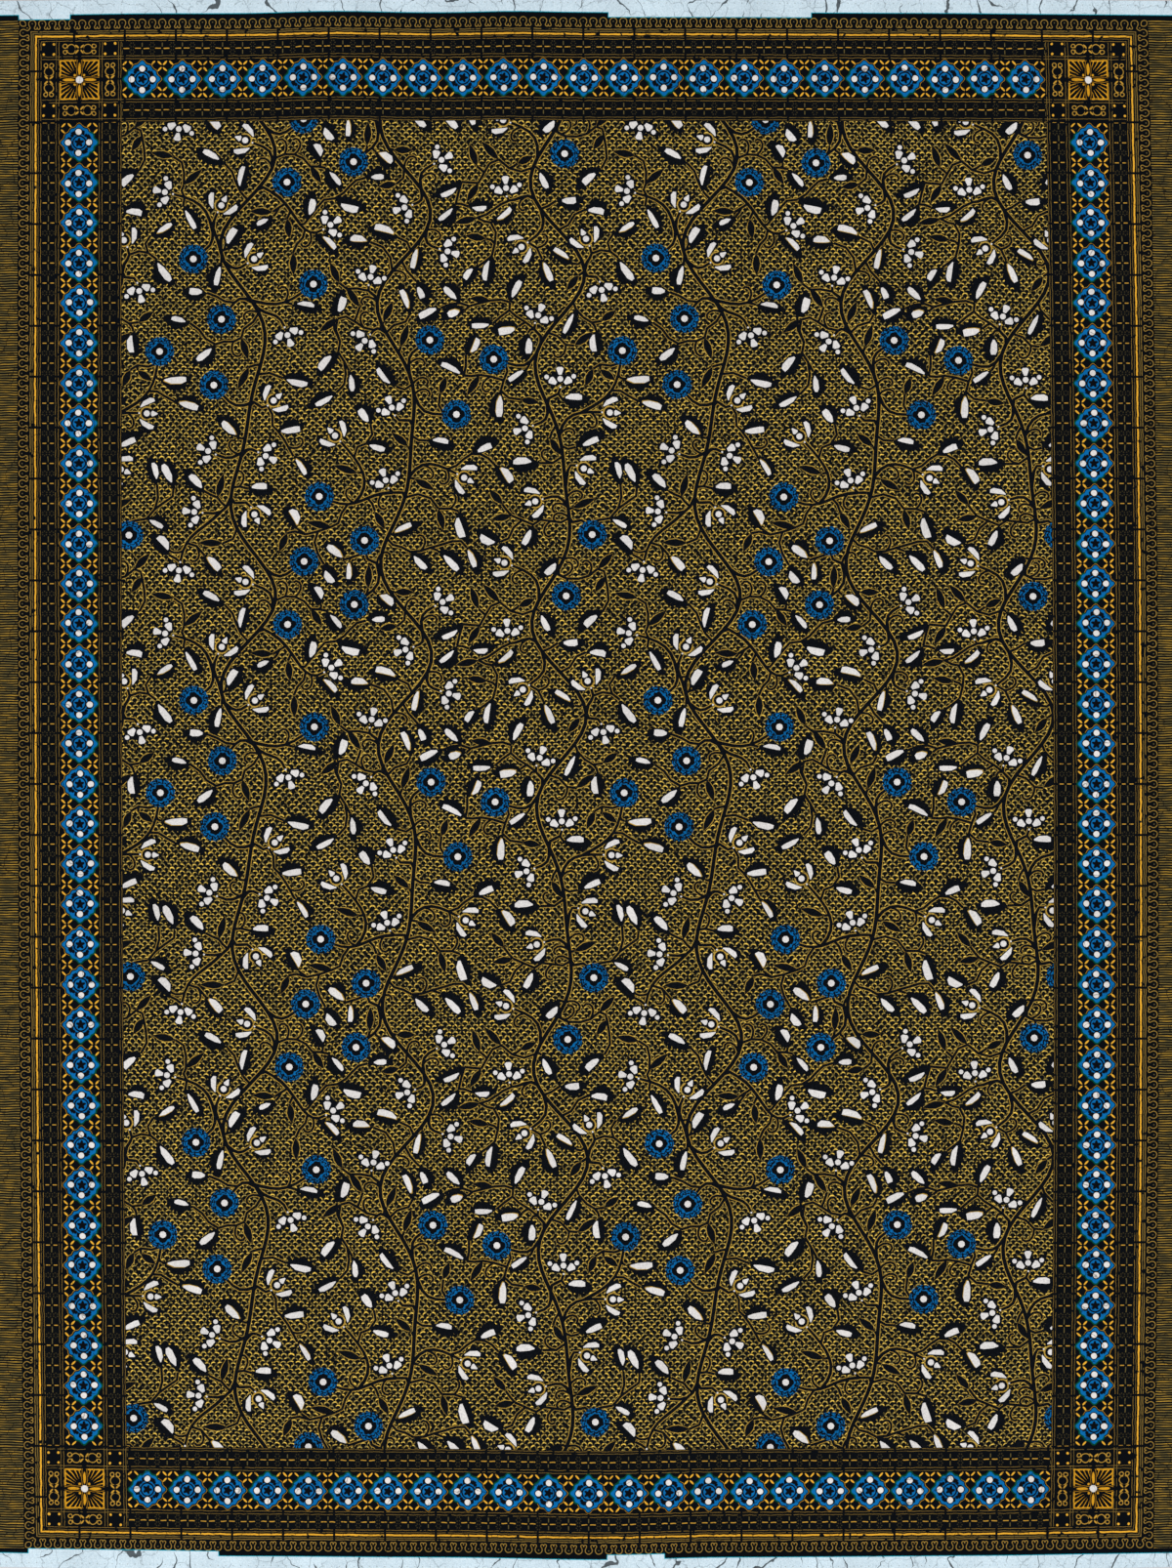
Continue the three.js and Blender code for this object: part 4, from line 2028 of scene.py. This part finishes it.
@dataclass
class PrintedCloth(Piece):
    """The printed cotton between the two selvedges, as one sheet that the print is drawn into."""

    vines: VinePrint = field(default_factory=VinePrint)
    border: BorderPrint = BorderPrint()
    grid: float = 24.0
    weld: float = 0.002
    seeds: float = 6.28

    def spots(self, inset: float = 0.0) -> list[Vector]:
        """Points spread over the cut, so that the sheet can follow the ripples.

        Args:
            inset: How far the outermost ones stay inside the cut's edge.

        Returns:
            The points.
        """
        half_u, half_v = self.lay.half_length - inset, self.lay.print_edge - inset
        count_u, count_v = round(2 * half_u / self.grid), round(2 * half_v / self.grid)
        columns = [half_u * (2 * i / count_u - 1) for i in range(count_u + 1)]
        rows = [half_v * (2 * j / count_v - 1) for j in range(count_v + 1)]
        return [Vector((u, v)) for u in columns for v in rows]

    def printed_side(self, build: bmesh.types.BMesh) -> None:
        """Add the upper side, divided along the outlines of the print.

        Args:
            build: The flat cloth.
        """
        shapes = self.vines.shapes() + self.border.shapes(self.lay)
        shapes.sort(key=lambda shape: shape.layer)
        points, loops = self.spots(), []
        for shape in shapes:
            first = len(points)
            points += [Vector(p) for p in shape.loop()]
            loops.append(list(range(first, len(points))))
        cut, _, faces, _, _, owners = delaunay_2d_cdt(points, [], loops, 1, self.weld)
        from_middle = build.loops.layers.float_vector.new(MOTIF)
        verts = [build.verts.new((p.x, p.y, self.wall)) for p in cut]
        for corners, owner in zip(faces, owners):
            shape = shapes[max(owner)]  # the topmost, as the layers are in order
            face = build.faces.new([verts[c] for c in corners])
            face.material_index = shape.ink
            if shape.ink is Ink.FLOWER:
                u, v = shape.middle
                for corner in face.loops:
                    corner[from_middle] = corner.vert.co - Vector((u, v, -((u + v) % self.seeds)))

    def underside(self, build: bmesh.types.BMesh) -> None:
        """Add the rim and the plain underside.

        Args:
            build: The flat cloth, which has its upper side.
        """
        rim = [edge for edge in build.edges if edge.is_boundary]
        drawn = bmesh.ops.extrude_edge_only(build, edges=rim)["geom"]
        lowered = [part for part in drawn if isinstance(part, bmesh.types.BMVert)]
        for number, point in enumerate(lowered):
            point.co.z = 0.0
            point.index = number
        edges = [part for part in drawn if isinstance(part, bmesh.types.BMEdge) and part.is_boundary]
        around = [tuple(point.index for point in edge.verts) for edge in edges]
        points = [point.co.xy for point in lowered] + self.spots(0.6 * self.grid)
        cut, _, faces, sources, _, _ = delaunay_2d_cdt(points, around, [], 0, self.weld)
        verts = []
        for place, source in zip(cut, sources):
            known = min(source) < len(lowered)
            verts.append(lowered[min(source)] if known else build.verts.new((*place, 0.0)))
        for corners in faces:
            face = build.faces.new([verts[c] for c in reversed(corners)])
            face.material_index = Ink.BACK

    def bake_map(self, build: bmesh.types.BMesh) -> None:
        """Spread all sides over a map without overlaps, in the cloth's own proportions.

        Args:
            build: The whole flat cloth.
        """
        places = build.loops.layers.uv.new(BAKE_MAP)
        length, width = self.lay.length, self.lay.width
        under_left, under_wide = 0.77, 0.17
        rim_left, rim_wide, rim_step = 0.95, 0.008, 0.012
        build.normal_update()
        for face in build.faces:
            out = face.normal
            for corner in face.loops:
                u, v, rise = corner.vert.co
                s, t = u / length + 0.5, v / width + 0.5
                if out.z > 0.5:
                    corner[places].uv = (s * length / width, t)
                elif out.z < -0.5:
                    corner[places].uv = (under_left + under_wide * s, t)
                else:
                    along = s if abs(out.y) > 0.5 else t
                    side = 2 * (abs(out.y) > 0.5) + (out.x + out.y > 0)
                    strip = rim_left + rim_step * side
                    corner[places].uv = (strip + rim_wide * rise / self.wall, along)

    def build(self) -> bpy.types.Object:
        """Make the cloth: its printed side, its rim and its underside."""
        flat = bmesh.new()
        self.printed_side(flat)
        self.underside(flat)
        self.bake_map(flat)
        return self.laid(flat, "wax_print_cloth")

    def dress(self, cloth: bpy.types.Object) -> None:
        """Give each ink of the cloth its finish."""
        dyes = self.cotton.dyes
        finishes = {
            Ink.SCALES: ScaleGround(),
            Ink.NAVY: PlainInk("navy_dye", dyes.navy, dyes.navy_worn, 0.35),
            Ink.OCHRE: PlainInk("ochre_dye", dyes.field_ochre, dyes.ground_olive, 0.7, 0.5, 3.0),
            Ink.WHITE: PlainInk("undyed_cotton", dyes.white, dyes.white_worn, 0.5),
            Ink.FLOWER: FlowerInk(),
            Ink.BORDER: BorderInk(),
            Ink.CORNER: CornerInk(),
            Ink.ENDS: StripeInk(),
            Ink.BACK: PlainInk("reverse_side", dyes.back, dyes.navy_worn, 0.8, 0.4, 5.0),
            Ink.FRINGE: PlainInk("blue_fringe", dyes.cyan, dyes.navy, 0.3, 0.5, 2.5),
            Ink.MARGIN: SelvedgeInk(),
        }
        for ink in Ink:
            cloth.data.materials.append(finishes[ink].build(self.cotton))


@dataclass
class Selvedge(Piece):
    """One of the two self-edges, as a strip of close-woven cotton."""

    side: int = 1
    wall: float = 0.65
    columns: int = 116
    rows: int = 3

    def build(self) -> bpy.types.Object:
        """Make the strip."""
        lay = self.lay
        flat = bmesh.new()
        bmesh.ops.create_grid(flat, x_segments=self.columns, y_segments=self.rows, size=0.5)
        bmesh.ops.scale(flat, verts=flat.verts, vec=(lay.length, lay.selvedge, 1.0))
        over = self.side * (lay.half_width - lay.selvedge / 2)
        bmesh.ops.translate(flat, verts=flat.verts, vec=(0.0, over, 0.0))
        bmesh.ops.reverse_faces(flat, faces=flat.faces)
        drawn = bmesh.ops.extrude_face_region(flat, geom=flat.faces[:], use_keep_orig=True)["geom"]
        raised = [part for part in drawn if isinstance(part, bmesh.types.BMVert)]
        bmesh.ops.translate(flat, verts=raised, vec=(0.0, 0.0, self.wall))
        bmesh.ops.recalc_face_normals(flat, faces=flat.faces)
        place = "top" if self.side > 0 else "bottom"
        return self.laid(flat, f"selvedge_strip_{place}")

    def dress(self, strip: bpy.types.Object) -> None:
        """Give the strip its finish."""
        finish = bpy.data.materials.get("selvedge")
        strip.data.materials.append(finish or SelvedgeInk().build(self.cotton))


# --------------------------------------------------------------------------------------------------
# Studio
# --------------------------------------------------------------------------------------------------


@dataclass(frozen=True)
class Lamp:
    """A round soft lamp that looks at the middle of the panel, in metres and watts."""

    name: str
    place: tuple[float, float, float]
    size: float
    power: float

    def hang(self) -> None:
        """Hang it."""
        data = bpy.data.lights.new(self.name, "AREA")
        data.shape, data.size, data.energy = "DISK", self.size, self.power
        lamp = bpy.data.objects.new(self.name, data)
        lamp.location = self.place
        lamp.rotation_euler = (-Vector(self.place)).to_track_quat("-Z", "Y").to_euler()
        bpy.context.scene.collection.objects.link(lamp)


@dataclass(frozen=True)
class Studio:
    """A pale floor under soft even light, and the camera straight above the panel.

    A pixel of the frame, which is image_height pixels high, shows that many millimetres of the floor.
    The camera's height and the floor's half are in metres.
    """

    image_height: int = 1606
    pixel: float = 0.762
    camera_height: float = 6.0
    sensor: float = 36.0
    floor_half: float = 14.0
    floor_drop: float = 0.1
    floor_paint: Dye = srgb(214, 211, 206)
    sky: Dye = srgb(245, 246, 250)
    sky_strength: float = 0.55
    lamps: tuple[Lamp, ...] = (
        Lamp("key", (-0.9, -1.6, 3.2), 2.6, 62.0),
        Lamp("fill", (1.8, 1.2, 3.0), 2.4, 26.0),
    )

    def camera(self, middle: Point) -> None:
        """Put the camera straight over the place where the flat cut has its middle.

        Args:
            middle: What the lay's middle() gives, in millimetres.
        """
        data = bpy.data.cameras.new("camera")
        data.sensor_width = self.sensor
        data.lens = self.sensor * self.camera_height / (self.image_height * self.pixel * MM)
        camera = bpy.data.objects.new("camera", data)
        camera.location = (-middle[0] * MM, -middle[1] * MM, self.camera_height)
        data.clip_end = 50.0
        bpy.context.scene.collection.objects.link(camera)
        bpy.context.scene.camera = camera

    def floor(self) -> None:
        """Lay the pale floor."""
        build = bmesh.new()
        bmesh.ops.create_grid(build, x_segments=1, y_segments=1, size=self.floor_half)
        bmesh.ops.translate(build, verts=build.verts, vec=(0, 0, -self.floor_drop * MM))
        mesh = bpy.data.meshes.new("floor")
        build.to_mesh(mesh)
        build.free()
        floor = bpy.data.objects.new("floor", mesh)
        bpy.context.scene.collection.objects.link(floor)
        material = bpy.data.materials.new("pale_floor")
        material.use_nodes = True
        shader = material.node_tree.nodes["Principled BSDF"]
        shader.inputs["Base Color"].default_value = self.floor_paint
        shader.inputs["Roughness"].default_value = 0.9
        mesh.materials.append(material)
        floor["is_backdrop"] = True

    def light(self) -> None:
        """Hang the soft lamps and fill the room with even light."""
        world = bpy.data.worlds.new("studio")
        world.use_nodes = True
        background = world.node_tree.nodes["Background"]
        background.inputs["Color"].default_value = self.sky
        background.inputs["Strength"].default_value = self.sky_strength
        bpy.context.scene.world = world
        for lamp in self.lamps:
            lamp.hang()

    def build(self, middle: Point) -> None:
        """Set the whole studio up.

        Args:
            middle: What the lay's middle() gives, in millimetres.
        """
        bpy.context.scene.view_settings.view_transform = "Standard"
        self.camera(middle)
        self.floor()
        self.light()


def main() -> None:
    """Build the panel in its studio."""
    logging.basicConfig(level=logging.INFO, format="%(name)s: %(message)s")
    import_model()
    solid_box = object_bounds()
    lay, cotton = Lay(), Cotton()
    Studio().build(lay.middle())
    cloth_maker = PrintedCloth(lay, cotton)
    cloth = cloth_maker.build()
    cloth_maker.dress(cloth)
    flat = (lay.length * MM, 2 * lay.print_edge * MM)
    cloth_maker.finish(cloth, "cloth", "printed_cotton", flat)
    for side, node in ((1, "selvedge_top"), (-1, "selvedge_bottom")):
        maker = Selvedge(lay, cotton, side=side)
        strip = maker.build()
        maker.dress(strip)
        maker.finish(strip, node, "selvedge_cotton", (lay.length * MM, lay.selvedge * MM))
    boxes = {"cad": solid_box, "visual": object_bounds()}
    plain = {name: [list(corner) for corner in box] for name, box in boxes.items()}


if __name__ == "__main__":
    main()
